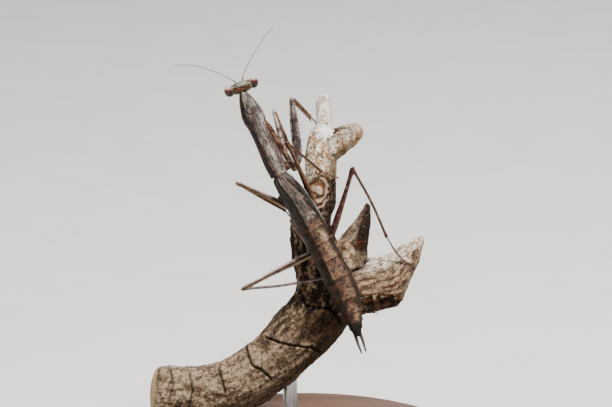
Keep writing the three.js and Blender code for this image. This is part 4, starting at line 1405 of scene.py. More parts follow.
FEMUR_RADIUS = {"mid": 0.45, "hind": 0.5}
TIBIA_RADIUS = 0.215
TARSUS_RADIUS = 0.15
TARSUS_SHARES = (0.0, 0.4, 0.6, 0.74, 0.84, 1.0)

LEG_LIGHT = rgb(186, 168, 160)
LEG_RED = rgb(118, 74, 62)
LEG_DARK = rgb(72, 46, 40)


def leg_nodes(pair, side):
    """The frame's nodes that one leg stands for."""
    return [f"{pair}_{bit}_{side}" for bit in ("coxa", "femur", "tibia", "tarsus")]


def ridged(angle, _t):
    """The faint lengthwise ridges of a leg."""
    return 1 + 0.045 * np.cos(4 * angle) + 0.02 * np.cos(9 * angle)


def leg_tint(top, middle, below, seed, bands=0.0):
    """Paints a leg segment: one colour above, one facing the viewer and one below; a paler colour
    above is partly a painted highlight.
    """

    def paint(t, angle, points):
        up = np.sin(angle)
        colour = blend(middle, top, smoothstep(up, 0.3, 0.58))
        blotch = mottled(points, 1.5, seed)
        ring = smoothstep(np.sin(2 * np.pi * (t * 4.2 + 0.15 * blotch)), 0.35, 0.8)
        return layered(
            colour,
            (below, smoothstep(-up, 0.42, 0.66)),
            (LEG_DARK, 0.55 * smoothstep(blotch, 0.05, 0.4)),
            (LEG_LIGHT, 0.3 * smoothstep(-blotch, 0.15, 0.45)),
            (LEG_DARK * 0.9, bands * ring),
            (54, 38, 34, 0.55 * speckled(points, 4.5, seed + 3, 0.3, 0.5)),
        )

    return paint


def step_at(path, share):
    """The number of the path's point at a share of its length."""
    return int(share * (len(path) - 1))


def tarsus_shapes(path_points, radius, seed, top_tint, side_tint):
    """Five joints in a row and a pair of claws."""
    path = curve(path_points, 121)
    shapes = []
    for joint, (start, end) in enumerate(zip(TARSUS_SHARES, TARSUS_SHARES[1:])):
        part = path[step_at(path, start):step_at(path, end) + 1]
        t = np.linspace(0, 1, len(part))
        swell = radius * (0.72 + 0.42 * t**2) * (1 - 0.15 * bump(t, 0, 0.12))
        shapes.append(limb(
            part, swell, 14, tint=leg_tint(top_tint, side_tint, rgb(96, 70, 60), seed + joint),
            dome=0.5,
        ))
    end = path[-1]
    run = unit(path[-1] - path[-8])
    across = unit(np.cross(run, (0.1, -1, 0.2)))
    into = np.cross(across, run)
    into = into if into[1] > 0 else -into
    claws = [
        thorn(
            end + across * side * 0.06, end + run * 0.42 + across * side * 0.26 + into * 0.3, 0.075,
            rgb(110, 74, 54), rgb(28, 18, 16), run * 0.35,
        )
        for side in (-1, 1)
    ]
    return shapes, claws


def joint_knob(place, radius, tint):
    """A rounded knob that closes a joint, with its soft skin."""
    path = (
        np.asarray(place)
        + np.linspace(-0.5, 0.5, 7)[:, None] * np.array([0.02, 0.06, 0.04]) * radius
    )
    return limb(path, radius, 18, (1, 0, 0.1), tint=tint, dome=1.0)


def femur_profile(t, radius):
    swell = (
        0.82 + 0.26 * bump(t, 0.24, 0.26) - 0.16 * smoothstep(t, 0.3, 0.9)
        + 0.2 * bump(t, 0.965, 0.045)
    )
    return radius * swell


def tibia_profile(t, radius):
    return radius * (
        1.0 + 0.28 * bump(t, 0.055, 0.05) - 0.25 * bump(t, 0, 0.03)
        + 0.22 * smoothstep(t, 0.93, 1.0)
    )


# The pale upper sides, and the pale lower edges of the left legs, are partly painted highlight
LEG_COLOURS = {  # of the femur's upper side, face and lower side, and of the tibia's
    "mid_right": ((rgb(128, 90, 66), rgb(98, 66, 48), rgb(68, 46, 35)),
                  (rgb(170, 128, 98), rgb(116, 78, 58), rgb(80, 54, 42))),
    "mid_left": ((rgb(172, 158, 158), rgb(92, 66, 60), rgb(190, 164, 130)),
                 (rgb(184, 164, 150), rgb(120, 92, 78), rgb(90, 66, 54))),
    "hind_right": ((rgb(106, 72, 62), rgb(84, 40, 28), rgb(52, 31, 24)),
                   (rgb(150, 126, 122), rgb(116, 84, 76), rgb(80, 54, 48))),
    "hind_left": ((rgb(214, 204, 202), rgb(72, 44, 38), rgb(220, 198, 162)),
                  (rgb(190, 178, 184), rgb(136, 120, 128), rgb(84, 66, 68))),
}


def make_walking_leg(key):
    joints = WALKING_LEGS[key]
    pair, side = key.split("_")
    along, aside, down = joints["hip"]
    hip = body_point(along, aside, -down)
    thigh, knee, shin, ankle, toe = (
        np.array(joints[k], float)
        for k in ("thigh", "knee", "shin", "ankle", "toe")
    )
    seed = 300 + 20 * list(WALKING_LEGS).index(key)
    femur_colours, tibia_colours = LEG_COLOURS[key]
    t = np.linspace(0, 1, 90)
    run = unit(knee - thigh)
    sag = np.cross(run, (0, -1, 0)) * 0.08
    femur_path = thigh + t[:, None] * (knee - thigh) + np.sin(np.pi * t)[:, None] * sag
    tibia_path = curve([knee + run * 0.02, shin, ankle], 110)
    coxa_path = curve([hip, (hip + thigh) / 2 + np.array([0, 0.12, 0]), thigh - run * 0.1], 40)
    u = np.linspace(0, 1, 40)
    brown = leg_tint(rgb(150, 124, 110), rgb(104, 76, 66), rgb(80, 56, 48), seed + 1)
    femur_radius = FEMUR_RADIUS[pair]
    shapes = [
        limb(
            coxa_path, 0.46 * (1.1 - 0.28 * u) + 0.06 * bump(u, 0.12, 0.1), 28, section=ridged,
            tint=brown,
        ),
        limb(
            np.linspace(thigh - run * 0.32, thigh + run * 0.38, 20),
            femur_radius * (0.86 + 0.1 * bump(np.linspace(0, 1, 20), 0.5, 0.3)), 26,
            tint=leg_tint(rgb(140, 104, 90), rgb(96, 64, 54), rgb(84, 58, 46), seed + 2),
        ),
        limb(
            femur_path, femur_profile(t, femur_radius), 34, tint=leg_tint(*femur_colours, seed + 3),
            section=ridged,
        ),
        joint_knob(knee + run * 0.1, TIBIA_RADIUS * 1.32, rgb(110, 80, 68)),
        limb(
            tibia_path, tibia_profile(np.linspace(0, 1, 110), TIBIA_RADIUS), 22, section=ridged,
            tint=leg_tint(*tibia_colours, seed + 4, bands=0.45 if key == "hind_right" else 0.22),
        ),
    ]
    feet, claws = tarsus_shapes(
        np.vstack([ankle + unit(ankle - shin) * 0.05, joints["foot"], toe]), TARSUS_RADIUS,
        seed + 5, *tibia_colours[:2],
    )
    piece(f"{pair}_leg_{side}", shapes + feet, LEG, "leg", *leg_nodes(pair, side))
    way = unit(ankle - shin)
    aside = unit(np.cross(way, (0, -1, 0)))
    spurs = [
        thorn(
            ankle + aside * s * 0.12, ankle + aside * s * 0.3 + way * 0.5, 0.05, rgb(120, 84, 64),
            rgb(40, 26, 22),
        )
        for s in (-1, 1)
    ]
    lobes = [
        thorn(
            knee - run * 0.25 + aside * s * 0.2, knee + run * 0.32 + aside * s * 0.26, 0.12,
            LEG_RED, LEG_DARK,
        )
        for s in (-1, 1)
    ]
    piece(f"{pair}_claws_{side}", claws + spurs + lobes, SPINES, "leg")


FORE_COLOURS = {
    "right": {
        "femur": ((240, 238, 238), (92, 84, 90), (160, 150, 150)),
        "tibia": ((142, 108, 88), (98, 66, 52)),
    },
    "left": {
        "femur": ((244, 238, 234), (150, 134, 128), (176, 158, 148)),
        "tibia": ((196, 128, 112), (140, 84, 72)),
    },
}


BLADE_RATIO = 1.56  # a raptorial femur's depth against its thickness


def femur_blade(angle, t):
    """The raptorial femur's section: a rounded back, flat sides and a grooved, spiny lower edge."""
    lower = np.cos(angle)
    groove = -0.2 * bump(angle - 2 * np.pi * (angle > np.pi), 0, 0.2) * smoothstep(t, 0.2, 0.4)
    edges = 0.09 * (bump(angle, 0.36, 0.12) + bump(angle, 2 * np.pi - 0.36, 0.12))
    return 1 + groove + edges - 0.03 * smoothstep(-lower, 0.3, 1) + 0.02 * np.cos(8 * angle)


def femur_spines(path, radius, flexed):
    """Two rows under the femur, and four strong spines near its base."""
    spines = []
    axis = unit(path[-1] - path[0])
    across = unit(np.cross(axis, flexed))
    for row, (offset, count, long) in enumerate(((0.3, 15, 0.5), (-0.3, 5, 0.75))):
        for i in range(count):
            place = 0.3 + 0.6 * (i + 0.5) / count
            index = step_at(path, place)
            depth = radius[index] * BLADE_RATIO * 0.93
            root = path[index] + flexed * depth + across * offset * radius[index]
            size = long * (1.0 if row or i % 2 else 0.62)
            tip = root + flexed * size * 0.86 + across * offset * 0.45 - axis * size * 0.28
            spines.append(thorn(
                root - flexed * 0.08, tip, 0.06 + 0.02 * row, rgb(176, 150, 128), rgb(34, 22, 20),
                axis * 0.08,
            ))
    for i in range(4):
        index = step_at(path, 0.2 + 0.06 * i)
        root = path[index] + flexed * radius[index] * BLADE_RATIO * 0.9
        tip = root + flexed * (0.5 + 0.22 * (i in (1, 2))) - axis * 0.12
        spines.append(thorn(root, tip, 0.075, rgb(160, 130, 108), rgb(30, 20, 18)))
    return spines


def tibia_spines(path, radius, run, femur_path):
    """Two rows along the side of the tibia that closes on the femur."""
    spines = []
    gap = femur_path[len(femur_path) // 2] - path[len(path) // 2]
    to_femur = unit(gap - run * np.dot(gap, run))
    beside = np.cross(run, to_femur)
    for row, count in ((1, 9), (-1, 11)):
        for i in range(count):
            share = 0.14 + 0.76 * i / (count - 1)
            index = step_at(path, share)
            root = path[index] + to_femur * radius[index] * 0.85 + beside * row * 0.16
            size = 0.24 + 0.26 * share
            tip = root + to_femur * size * 0.7 + run * size * 0.7 + beside * row * 0.08
            spines.append(thorn(
                root, tip, 0.05, rgb(150, 118, 98), rgb(32, 20, 18), to_femur * 0.05,
            ))
    return spines


def coxa_spines(path, radius):
    """A row of short spines along the coxa."""
    spines = []
    outward = unit(np.cross(path[-1] - path[0], (0.2, 1, 0.1)))
    for i in range(9):
        index = step_at(path, 0.1 + 0.09 * i)
        root = path[index] - outward * radius[index] * 0.9
        spines.append(thorn(root, root - outward * 0.26, 0.05, rgb(130, 90, 76), rgb(48, 28, 24)))
    return spines


def make_foreleg(side):
    joints = FORELEGS[side]
    at = {key: np.array(value, float) for key, value in joints.items()}
    seed = 500 if side == "right" else 540
    colours = FORE_COLOURS[side]
    back, face, edge = (rgb(*c) for c in colours["femur"])
    flexed = unit(at["flexed"])

    def femur_tint(t, angle, points):
        lower = np.cos(angle)
        blotch = mottled(points, 1.1, seed)
        light = clamp(0.35 + 2.4 * mottled(points, (1.6, 1.6, 0.7), seed + 1))
        colour = blend(face, edge, light)
        breaks = bump(t, 0.66, 0.04) + bump(t, 0.36, 0.03) + bump(t, 0.5, 0.02)
        return layered(
            colour,
            (224, 214, 204, 0.6 * bump(lower, 0.1, 0.16) * smoothstep(t, 0.35, 0.7) * light),
            (48, 34, 34, 0.9 * bump(lower, -0.46, 0.12)),
            (back, smoothstep(-lower, 0.6, 0.74)),
            (66, 46, 46, 0.75 * smoothstep(blotch, 0.06, 0.3) * (lower > -0.55)),
            (52, 40, 40, 0.85 * clamp(breaks) * smoothstep(-lower, 0, 0.5)),
            (50, 36, 34, 0.6 * speckled(points, 3.6, seed + 3, 0.22, 0.44)),
        )

    def coxa_tint(t, angle, points):
        colour = blend(
            rgb(84, 54, 44), rgb(168, 134, 116), 0.4 + 1.6 * mottled(points, 2.0, seed + 7),
        )
        return blend(colour, rgb(48, 24, 20), 0.8 * speckled(points, 2.8, seed + 9, 0.06, 0.3))

    t = np.linspace(0, 1, 120)
    coxa_bow = np.sin(np.pi * t)[:, None] * np.array([0.1, 0.25, 0])
    coxa_path = at["hip"] + t[:, None] * (at["trochanter"] - at["hip"]) + coxa_bow
    coxa_radius = (
        0.56 * (1.14 - 0.34 * t) * (1 - 0.2 * bump(t, 0, 0.08)) + 0.06 * bump(t, 0.95, 0.05)
    )
    belly = np.sin(np.pi * np.minimum(1, t * 1.12) ** 0.75)
    femur_radius = (
        0.5 * (0.58 + 0.42 * np.maximum(belly, 0) ** 0.6) * (1 - 0.12 * bump(t, 1, 0.06))
        + 0.05 * bump(t, 0.94, 0.04)
    )
    femur_path = at["thigh"] + t[:, None] * (at["knee"] - at["thigh"])
    tibia_path = curve(
        [
            at["knee"] + flexed * 0.12,
            (at["knee"] + at["ankle"]) / 2 + unit(at["knee"] - at["thigh"]) * 0.12, at["ankle"],
        ],
        90,
    )
    s = np.linspace(0, 1, 90)
    tibia_radius = (
        0.34 * (1.05 - 0.3 * s) * (1 - 0.2 * bump(s, 0, 0.05)) + 0.05 * bump(s, 0.95, 0.06)
    )
    tibia_low, tibia_high = (rgb(*c) for c in colours["tibia"][::-1])
    shapes = [
        limb(
            coxa_path, coxa_radius, 36,
            section=lambda a, u: 1 + 0.05 * np.cos(3 * a) + 0.02 * np.cos(8 * a), tint=coxa_tint,
        ),
        limb(
            curve(
                [
                    at["trochanter"] - (0.1, 0, 0.05), at["trochanter"] + (0.25, 0.1, 0.2),
                    at["thigh"] + (0, 0, 0.35),
                ],
                30,
            ),
            0.42 + 0.03 * np.sin(np.linspace(0, np.pi, 30)), 28, tint=coxa_tint,
        ),
        limb(femur_path, femur_radius, 72, flexed, BLADE_RATIO, femur_tint, femur_blade),
        joint_knob(at["knee"] + flexed * 0.1, 0.36, rgb(196, 180, 170)),
        limb(
            tibia_path, tibia_radius, 30, flexed, 1.25,
            leg_tint(
                tibia_high, blend(tibia_low, tibia_high, 0.5), tibia_low, seed + 11, bands=0.3,
            ),
            ridged,
        ),
    ]
    run = unit(at["ankle"] - at["knee"])
    foot = at["ankle"] - run * 0.9
    outward = unit(at["toe"] - foot)
    foot = foot + outward * 0.3
    feet, claws = tarsus_shapes(
        [foot, foot + (at["toe"] - foot) * 0.5 + run * 0.12, at["toe"]], 0.14, seed + 13, LEG_LIGHT,
        rgb(184, 168, 120),
    )
    piece(f"fore_leg_{side}", shapes + feet, LEG, "leg", *leg_nodes("fore", side))

    hook_tip = at["ankle"] + run * 0.72 + unit((-0.35, 0.1, -0.75)) * 0.6
    hook = thorn(
        at["ankle"] - run * 0.3, hook_tip, 0.26, rgb(128, 88, 70), rgb(30, 18, 16), run * 0.55,
        sides=16,
    )
    spines = femur_spines(femur_path, femur_radius, flexed)
    spines += tibia_spines(tibia_path, tibia_radius, run, femur_path)
    spines += coxa_spines(coxa_path, coxa_radius)
    piece(f"fore_spines_{side}", [*spines, hook, *claws], SPINES, "leg")


# ---- Soft skin of the body --------------------------------------------------------------------


def make_body_skin():
    """One skin under the plates: the neck, trunk and leg sockets, joined and smoothed."""
    neck = curve([body_point(2.2, 0, -0.3), body_point(0.9, 0, -0.4), body_point(0.1, 0, -0.62),
                  body_point(0, 0, -0.75) + np.array([-0.2, 0.1, 0.6])], 30)
    along = np.linspace(1.2, 15.6, 60)
    under_shield = body_axes(along)[0]
    shapes = [
        limb(neck, 0.5, 24),
        limb(under_shield, PRONOTUM_HALF_HEIGHT(along) - 0.32, 28, (1, 0, 0.3), 1.12),
    ]
    along = np.linspace(14.6, 44.2, 160)
    centre, _tail, right, _back = body_axes(along)
    depth = TRUNK_HALF_HEIGHT(along) - 0.33
    depth = np.maximum(depth * (1 - 0.16 * bump(along, 15.0, 0.55)), 0.12)
    width = TRUNK_HALF_WIDTH(along) - 0.33
    shapes.append(limb(centre, depth, 44, right))
    for offset in (-0.5, 0.5):
        shapes.append(limb(
            centre + right * (offset * (width - depth * 0.9))[:, None] * 2, depth * 0.9, 32, right,
        ))
    for joints in WALKING_LEGS.values():
        reach, aside, down = joints["hip"]
        hip = body_point(reach, aside, -down)
        inside = body_point(reach - 0.3, aside * 0.6, -down * 0.3)
        shapes.append(limb(curve([inside, hip], 16), 0.48, 20))
    for joints in FORELEGS.values():
        hip = np.array(joints["hip"])
        inside = body_point(5.2, 0, -0.2)
        shapes.append(limb(
            curve([inside, hip + 0.12 * (np.array(joints["trochanter"]) - hip)], 16), 0.46, 20,
        ))
    points, quads, tris = remeshed("body_skin_parts", shapes, 0.15)
    points = relaxed(points, quads, tris, 5)
    normals = normals_of(points, quads, tris)
    folds = fbm(points * (1.2, 1.2, 3.6), 4, 601)
    points = points + normals * (0.035 * folds)[:, None]
    colour = blend(rgb(58, 36, 26), rgb(124, 82, 52), 0.5 + 1.2 * folds)
    piece("body_skin", [(points, quads, tris, colour)], MEMBRANE, "membrane", "neck")


# ---- Perch ------------------------------------------------------------------------------------

BRANCH_AXIS = [
    (-24.57, 9.2, -32.4), (-17.84, 9.2, -32.48), (-13.13, 9.2, -31.22), (-8.92, 9.2, -29.03),
    (-4.71, 9.2, -25.83), (-1.68, 9.2, -22.55), (1.25, 9.2, -19.6), (2.9, 9.1, -16.8),
    (3.1, 8.8, -13.2), (1.55, 8.3, -8.14), (0.84, 8, -3.61), (2.18, 8, 1.43), (2.52, 8.1, 5.29),
    (2.6, 8.2, 8.98), (3.0, 8.3, 13.3),
]
BRANCH_RADIUS = profile([
    (0, 5.1), (0.36, 4.95), (0.45, 5.25), (0.53, 5.2), (0.61, 4.4), (0.7, 3.7), (0.77, 3.2),
    (0.84, 2.65), (0.94, 2.6), (0.98, 1.9), (1, 0.9),
])
FORKS = {
    "fork_right": (
        [(3.0, 8.2, 8.3), (6.3, 8.2, 10.7), (9.1, 8.2, 12.55)],
        [(0, 2.4), (0.5, 1.9), (0.9, 1.6), (1, 1.3)],
    ),
    "fork_back": (
        [(2.6, 9.6, 6), (2.95, 13.7, 12.51), (3.1, 17.0, 18.2)],
        [(0, 1.8), (0.4, 1.42), (0.85, 1.32), (1, 1.15)],
    ),
    "fork_web": (
        [(3.0, 8.2, 9.8), (5.4, 8.2, 10.9), (8.2, 8.2, 12.2)], [(0, 2.0), (0.5, 1.9), (1, 1.5)],
    ),
    "thorn": (
        [
            (6.6, 8.6, -13.6), (7.3, 8.3, -10.5), (7.75, 8.0, -7.6), (8.75, 7.6, -5.2),
            (9.4, 7.2, -3.5), (9.97, 6.9, -1.6), (10.38, 6.7, 0.0),
        ],
        [(0, 3.0), (0.225, 2.9), (0.44, 2.75), (0.625, 1.95), (0.76, 1.4), (0.885, 0.95), (1, 0.5)],
    ),
}
STUB_AXIS = [
    (4.5, 9.2, -15.2), (9.0, 8.7, -14.3), (12.4, 8.2, -13.5), (14.92, 7.7, -12.83),
    (16.45, 7.4, -10.75), (18.25, 7.2, -8.46), (19.65, 7.2, -6.1),
]
STUB_HALF_HEIGHT = profile([
    (0, 4.6), (0.3, 4.6), (0.55, 4.4), (0.68, 3.55), (0.79, 2.65), (0.9, 1.8), (1, 0.7),
])
STUB_FLATNESS = 0.9
STUB_RUN = np.array([1, 0, 0.12])  # the stub is measured in upright slices across this direction
BARK_VOXEL = 0.19


def perch_limbs():
    """The perch's limbs: each one's axis, radius along it, wide direction and flatness."""
    t = np.linspace(0, 1, 300)
    limbs = {"branch": (curve(BRANCH_AXIS, 300), BRANCH_RADIUS(t), (0, -1, 0.01), 1.0)}
    for name, (axis, radius) in FORKS.items():
        limbs[name] = (curve(axis, 300), profile(radius)(t), (0, -1, 0.01), 1.0)
    stub = curve(STUB_AXIS, 300)
    knots = [np.argmin(np.linalg.norm(stub - place, axis=1)) / 299 for place in np.array(STUB_AXIS)]
    limbs["stub"] = (
        stub, STUB_HALF_HEIGHT(np.interp(t, knots, np.linspace(0, 1, len(STUB_AXIS)))), (0, 1, 0),
        STUB_FLATNESS,
    )
    return limbs


def stub_shape(path, radius):
    """The stub's upright slices, closed at both ends, with a rounded cap over its tip."""
    run = unit(STUB_RUN)
    above = np.cross(run, (0, 1, 0))
    angle = np.linspace(0, 2 * math.pi, 96, endpoint=False)
    around = (
        np.cos(angle)[:, None] * np.array([0, STUB_FLATNESS, 0])
        + np.sin(angle)[:, None] * above
    )
    rings = path[:, None] + radius[:, None, None] * around
    tip = [
        path[-1] + run * 0.35 * radius[-1] * math.sin(a) + radius[-1] * math.cos(a) * around
        for a in (0.5, 1.0, 1.4)
    ]
    return closed_tube(np.concatenate([rings, tip]), (0.5, 0.5, 0.5))


def nearest_along(points, path):
    """For each point the number of the nearest path point."""
    tree = KDTree(len(path))
    for i, place in enumerate(path):
        tree.insert(place, i)
    tree.balance()
    return np.array([tree.find(place)[1] for place in points])


def limb_coordinates(points, path, radius, wide):
    """How far along a limb each point is, its offset from the axis, and that over the radius."""
    _tangent, across, above = frames_along(path, wide)
    index = nearest_along(points, path)
    run = np.concatenate([[0], np.cumsum(np.linalg.norm(np.diff(path, axis=0), axis=1))])
    offset = points - path[index]
    x = np.sum(offset * across[index], 1)
    y = np.sum(offset * above[index], 1)
    return run[index], x, y, np.linalg.norm(offset, axis=1) / radius[index]


def line_distance(x, z, places):
    """The distance in the picture plane from a drawn line, with places as (x, z)."""
    best = np.full(len(x), 99.0)
    for (x1, z1), (x2, z2) in zip(places, places[1:]):
        run = np.array([x2 - x1, z2 - z1])
        share = clamp(((x - x1) * run[0] + (z - z1) * run[1]) / (run @ run))
        best = np.minimum(best, np.hypot(x - x1 - share * run[0], z - z1 - share * run[1]))
    return best


CRACKS = [  # drawn lines (x, z) that face the viewer, and how wide and deep each is
    ([(7.7, -11.3), (9.35, -10.7), (10.2, -9.7), (10.5, -8.7)], 0.2, 0.5),
    ([(0.2, -17.0), (4.0, -17.5), (5.3, -18.7), (5.8, -20.2)], 0.2, 0.55),
    ([(-6.8, -22.4), (-3.5, -23.5), (0.7, -24.1), (2.3, -24.7)], 0.17, 0.45),
    ([(-10.1, -24.1), (-9.0, -27.1), (-7.3, -27.9), (-6.0, -29.1)], 0.17, 0.45),
    ([(-14.6, -27.8), (-14.1, -29.4), (-13.5, -31.4)], 0.17, 0.4),
    ([(-1.0, -14.4), (-0.2, -16.5), (0.4, -17.4)], 0.18, 0.45),
    ([(-0.6, -5.4), (0.1, -9.0), (-0.9, -12.6)], 0.16, 0.4),
    ([(-19.5, -28.6), (-18.9, -31.2), (-19.6, -34.0)], 0.14, 0.32),
    ([(-22.7, -27.9), (-22.2, -30.4), (-22.8, -32.8)], 0.12, 0.28),
]
STUB_BARK_EDGE = [
    (4.6, -18.4), (7.4, -16.6), (9.6, -15.7), (12.0, -15.3), (14.2, -15.6), (16.0, -16.0),
    (20.0, -15.0),
]


def foot_paths():
    """The paths of the walking legs' feet."""
    return np.vstack([
        curve(np.vstack([[joints["ankle"]], joints["foot"], [joints["toe"]]]), 80)
        for joints in WALKING_LEGS.values()
    ])


def bark_zones(points, normals):
    """The parts of the bark as shares from 0 to 1, and the noise that they have in common."""
    x, _y, z = points.T
    facing = smoothstep(-normals[:, 1], -0.1, 0.35)
    limbs = perch_limbs()
    coordinates = {name: limb_coordinates(points, *entry[:3]) for name, entry in limbs.items()}
    closeness = np.stack([coordinates[name][3] for name in limbs])
    weights = np.exp(-9 * (closeness - closeness.min(0)))
    weights /= weights.sum(0)
    share = dict(zip(limbs, weights))
    grain = np.zeros(len(points))
    fibre = np.zeros(len(points))
    cracks = np.zeros(len(points))
    plates = np.zeros(len(points))
    for k, (name, (along, a, b, _close)) in enumerate(coordinates.items()):
        used = share[name] > 0.02
        place = np.stack([along, a, b], 1)[used]
        warp = 0.5 * fbm(place * 0.45, 2, 740 + k)
        grain[used] += share[name][used] * fbm(place * (0.42, 1.5, 1.5) + warp[:, None], 5, 700 + k)
        fibre[used] += share[name][used] * fbm(
            place * (0.5, 4.2, 4.2) + 2 * warp[:, None], 4, 760 + k,
        )
        _first, border, own = cells(place * (0.36, 0.62, 0.62) + warp[:, None], 720 + k)
        cracks[used] += share[name][used] * smoothstep(0.1 - border, 0, 0.09)
        plates[used] += share[name][used] * own
    lumps = fbm(points * 0.42, 3, 771)
    crumbs = fbm(points * 2.6, 4, 775)
    along = coordinates["branch"][0]
    length = np.linalg.norm(np.diff(limbs["branch"][0], axis=0), axis=1).sum()
    place = along / length
    upper = smoothstep(z, 2.5, 5.5) * (share["branch"] + share["fork_right"])
    lower = (1 - smoothstep(place, 0.42, 0.56)) * share["branch"]
    back_prong = share["fork_back"] * smoothstep(z, 8, 11)
    edge_z = np.interp(x, *zip(*STUB_BARK_EDGE)) + 1.0 * fbm(points * (1.4, 0.4, 0.5), 4, 779)
    stub_here = smoothstep(x, 6.0, 8.0) * (share["stub"] > 0.4)
    above_edge = smoothstep(z - edge_z, -0.12, 0.12)
    wood = stub_here * above_edge * smoothstep(-normals[:, 1], -0.75, -0.45)
    under = stub_here * (1 - above_edge)
    thorn = share["thorn"] * smoothstep(z, -11.5, -9.5)
    trunk = clamp(1 - upper - lower - wood - under - thorn - back_prong)
    cracks = cracks * smoothstep(fbm(points * 0.5, 2, 777), -0.15, 0.25)
    curl = bump(np.hypot((x - 2.6) / 2.2, (z - 1.5) / 3.4), 0, 0.9) * facing
    bent = fbm(points * 0.75, 2, 831)
    swirl = np.sin(
        4.0 * np.hypot(x - 1.4 + 0.6 * bent, (z - 2.4) * 1.15 + 0.9 * lumps) + 3.2 * bent
    )
    block = smoothstep(
        1 - np.maximum(np.abs(x - 6.25) / 1.7, np.abs(z + 8.6) / 2.7) + 0.14 * grain, 0, 0.16,
    ) * facing
    cleft_line = line_distance(
        x + 0.25 * crumbs, z - 0.3 * crumbs, [(8.35, -6.75), (8.95, -6.3), (9.75, -6.15)],
    )
    cleft = bump(cleft_line, 0, 0.13) * facing
    lenticels = cells(points * (1.2, 1.2, 1.5), 791)[0]
    spots = smoothstep(0.3 - lenticels, 0, 0.12)
    cut = smoothstep(-x, 24.25, 24.5) * smoothstep(-normals[:, 0], 0.6, 0.85)
    tone = clamp(0.5 + 1.1 * grain + 0.7 * crumbs)
    specks = speckled(points, 2.1, 821, 0.2, 0.34)
    # painted shade: the share of downward-facing bark, darkened below
    shaded_underside = smoothstep(-normals[:, 2], 0.15, 0.7)
    return SimpleNamespace(
        x=x, z=z, facing=facing, share=share, grain=grain, fibre=fibre, cracks=cracks,
        plates=plates, lumps=lumps, crumbs=crumbs, place=place, upper=upper, lower=lower,
        back_prong=back_prong, edge_z=edge_z, stub_here=stub_here, wood=wood, under=under,
        thorn=thorn, trunk=trunk, curl=curl, swirl=swirl, block=block, cleft_line=cleft_line,
        cleft=cleft, spots=spots, cut=cut, tone=tone, specks=specks, shaded_underside=shaded_underside,
    )


def bark_height(points, bark):
    """The height of the bark over its plain limbs, in mm."""
    height = 0.26 * bark.lumps + 0.1 * bark.crumbs
    height += bark.grain * (
        0.2 * bark.trunk + 0.12 * bark.upper + 0.16 * bark.lower + 0.1 * bark.thorn
        + 0.1 * bark.under + 0.1 * bark.back_prong
    )
    height += 0.1 * (bark.plates - 0.5) * (
        bark.trunk + 0.6 * bark.lower + 0.4 * bark.upper + bark.thorn
    )
    height -= bark.cracks * (
        0.26 * bark.trunk + 0.1 * bark.upper + 0.14 * bark.lower + 0.12 * bark.thorn
        + 0.2 * bark.under
    )
    height += bark.wood * (0.13 * bark.fibre - 0.05)
    height += (
        0.22 * bump(bark.z - bark.edge_z, -0.25, 0.3) * bark.stub_here
        - (0.2 + 0.25 * bark.crumbs) * bark.under
    )
    for places, width, depth in CRACKS:
        wander = 0.18 * fbm(points * 1.1, 3, 781)
        gap = line_distance(bark.x + wander, bark.z - wander, places)
        height -= depth * bump(gap, 0, width) * bark.facing
        height += 0.16 * bump(gap, 2.6 * width, 1.6 * width) * bark.facing
    height += bark.curl * (0.2 * bark.swirl - 0.08)
    height += 0.22 * bark.block
    height -= 0.3 * bark.cleft + 0.2 * bump(bark.cleft_line, 0.55, 0.3) * bark.facing
    height += 0.1 * bark.spots * bark.lower - 0.12 * bark.spots * (bark.upper + bark.wood)
    return height * (1 - 0.9 * bark.cut)


BARK_DARK = rgb(24, 16, 9)


def trunk_colour(bark):
    """Dark furrowed bark, tan and freckled along the branch's lower half, with painted shade at the
    bend under the stub and on the undersides.
    """
    colour = blend(BARK_DARK, rgb(66, 48, 33), smoothstep(bark.tone, 0.25, 0.7))
    colour = blend(colour, rgb(152, 127, 102), smoothstep(bark.tone, 0.68, 1.0))
    tan = blend(rgb(92, 73, 56), rgb(160, 139, 115), smoothstep(bark.tone, 0.1, 0.85))
    tan = blend(tan, rgb(44, 30, 21), 0.75 * np.maximum(bark.spots, bark.specks))
    # painted shade: the bark at the bend under the stub darkened
    bend = 1 - np.hypot((bark.x - 3.4) / 5.4, (bark.z + 21.2) / 3.9) + 0.35 * bark.lumps
    bend = smoothstep(bend, 0.0, 0.35) * bark.share["branch"]
    return layered(
        colour,
        (tan, 0.92 * bark.lower * (0.3 + 0.7 * smoothstep(-bark.place, -0.44, -0.24))),
        (blend(rgb(26, 17, 9), rgb(78, 55, 36), bark.tone), 0.9 * bend),
        (40, 27, 18, 0.6 * bark.shaded_underside * (bark.lower + bark.trunk)),
    )


def cream_bark(points, normals, bark):
    """The pale upper branch, with orange blotches, fine dark specks and painted shade on its
    right-hand and downward-facing sides.
    """
    cream = blend(rgb(208, 176, 132), rgb(255, 244, 218), smoothstep(bark.tone, 0.15, 0.6))
    blotches = smoothstep(mottled(points, 3.3, 801), -0.02, 0.14)
    orange = blotches * clamp(0.75 + 2.5 * mottled(points, 0.9, 803))
    # painted shade on the right-hand and downward-facing sides
    shaded_sides = smoothstep(normals[:, 0] + 0.5 * bark.grain, 0.1, 0.55) + 0.9 * bark.shaded_underside
    return layered(
        cream,
        (170, 104, 56, 0.8 * orange),
        (54, 34, 20, 0.85 * speckled(points, 3.4, 805, 0.13, 0.27)),
        (blend(rgb(62, 43, 30), rgb(150, 116, 88), bark.tone), 0.8 * clamp(shaded_sides)),
    )


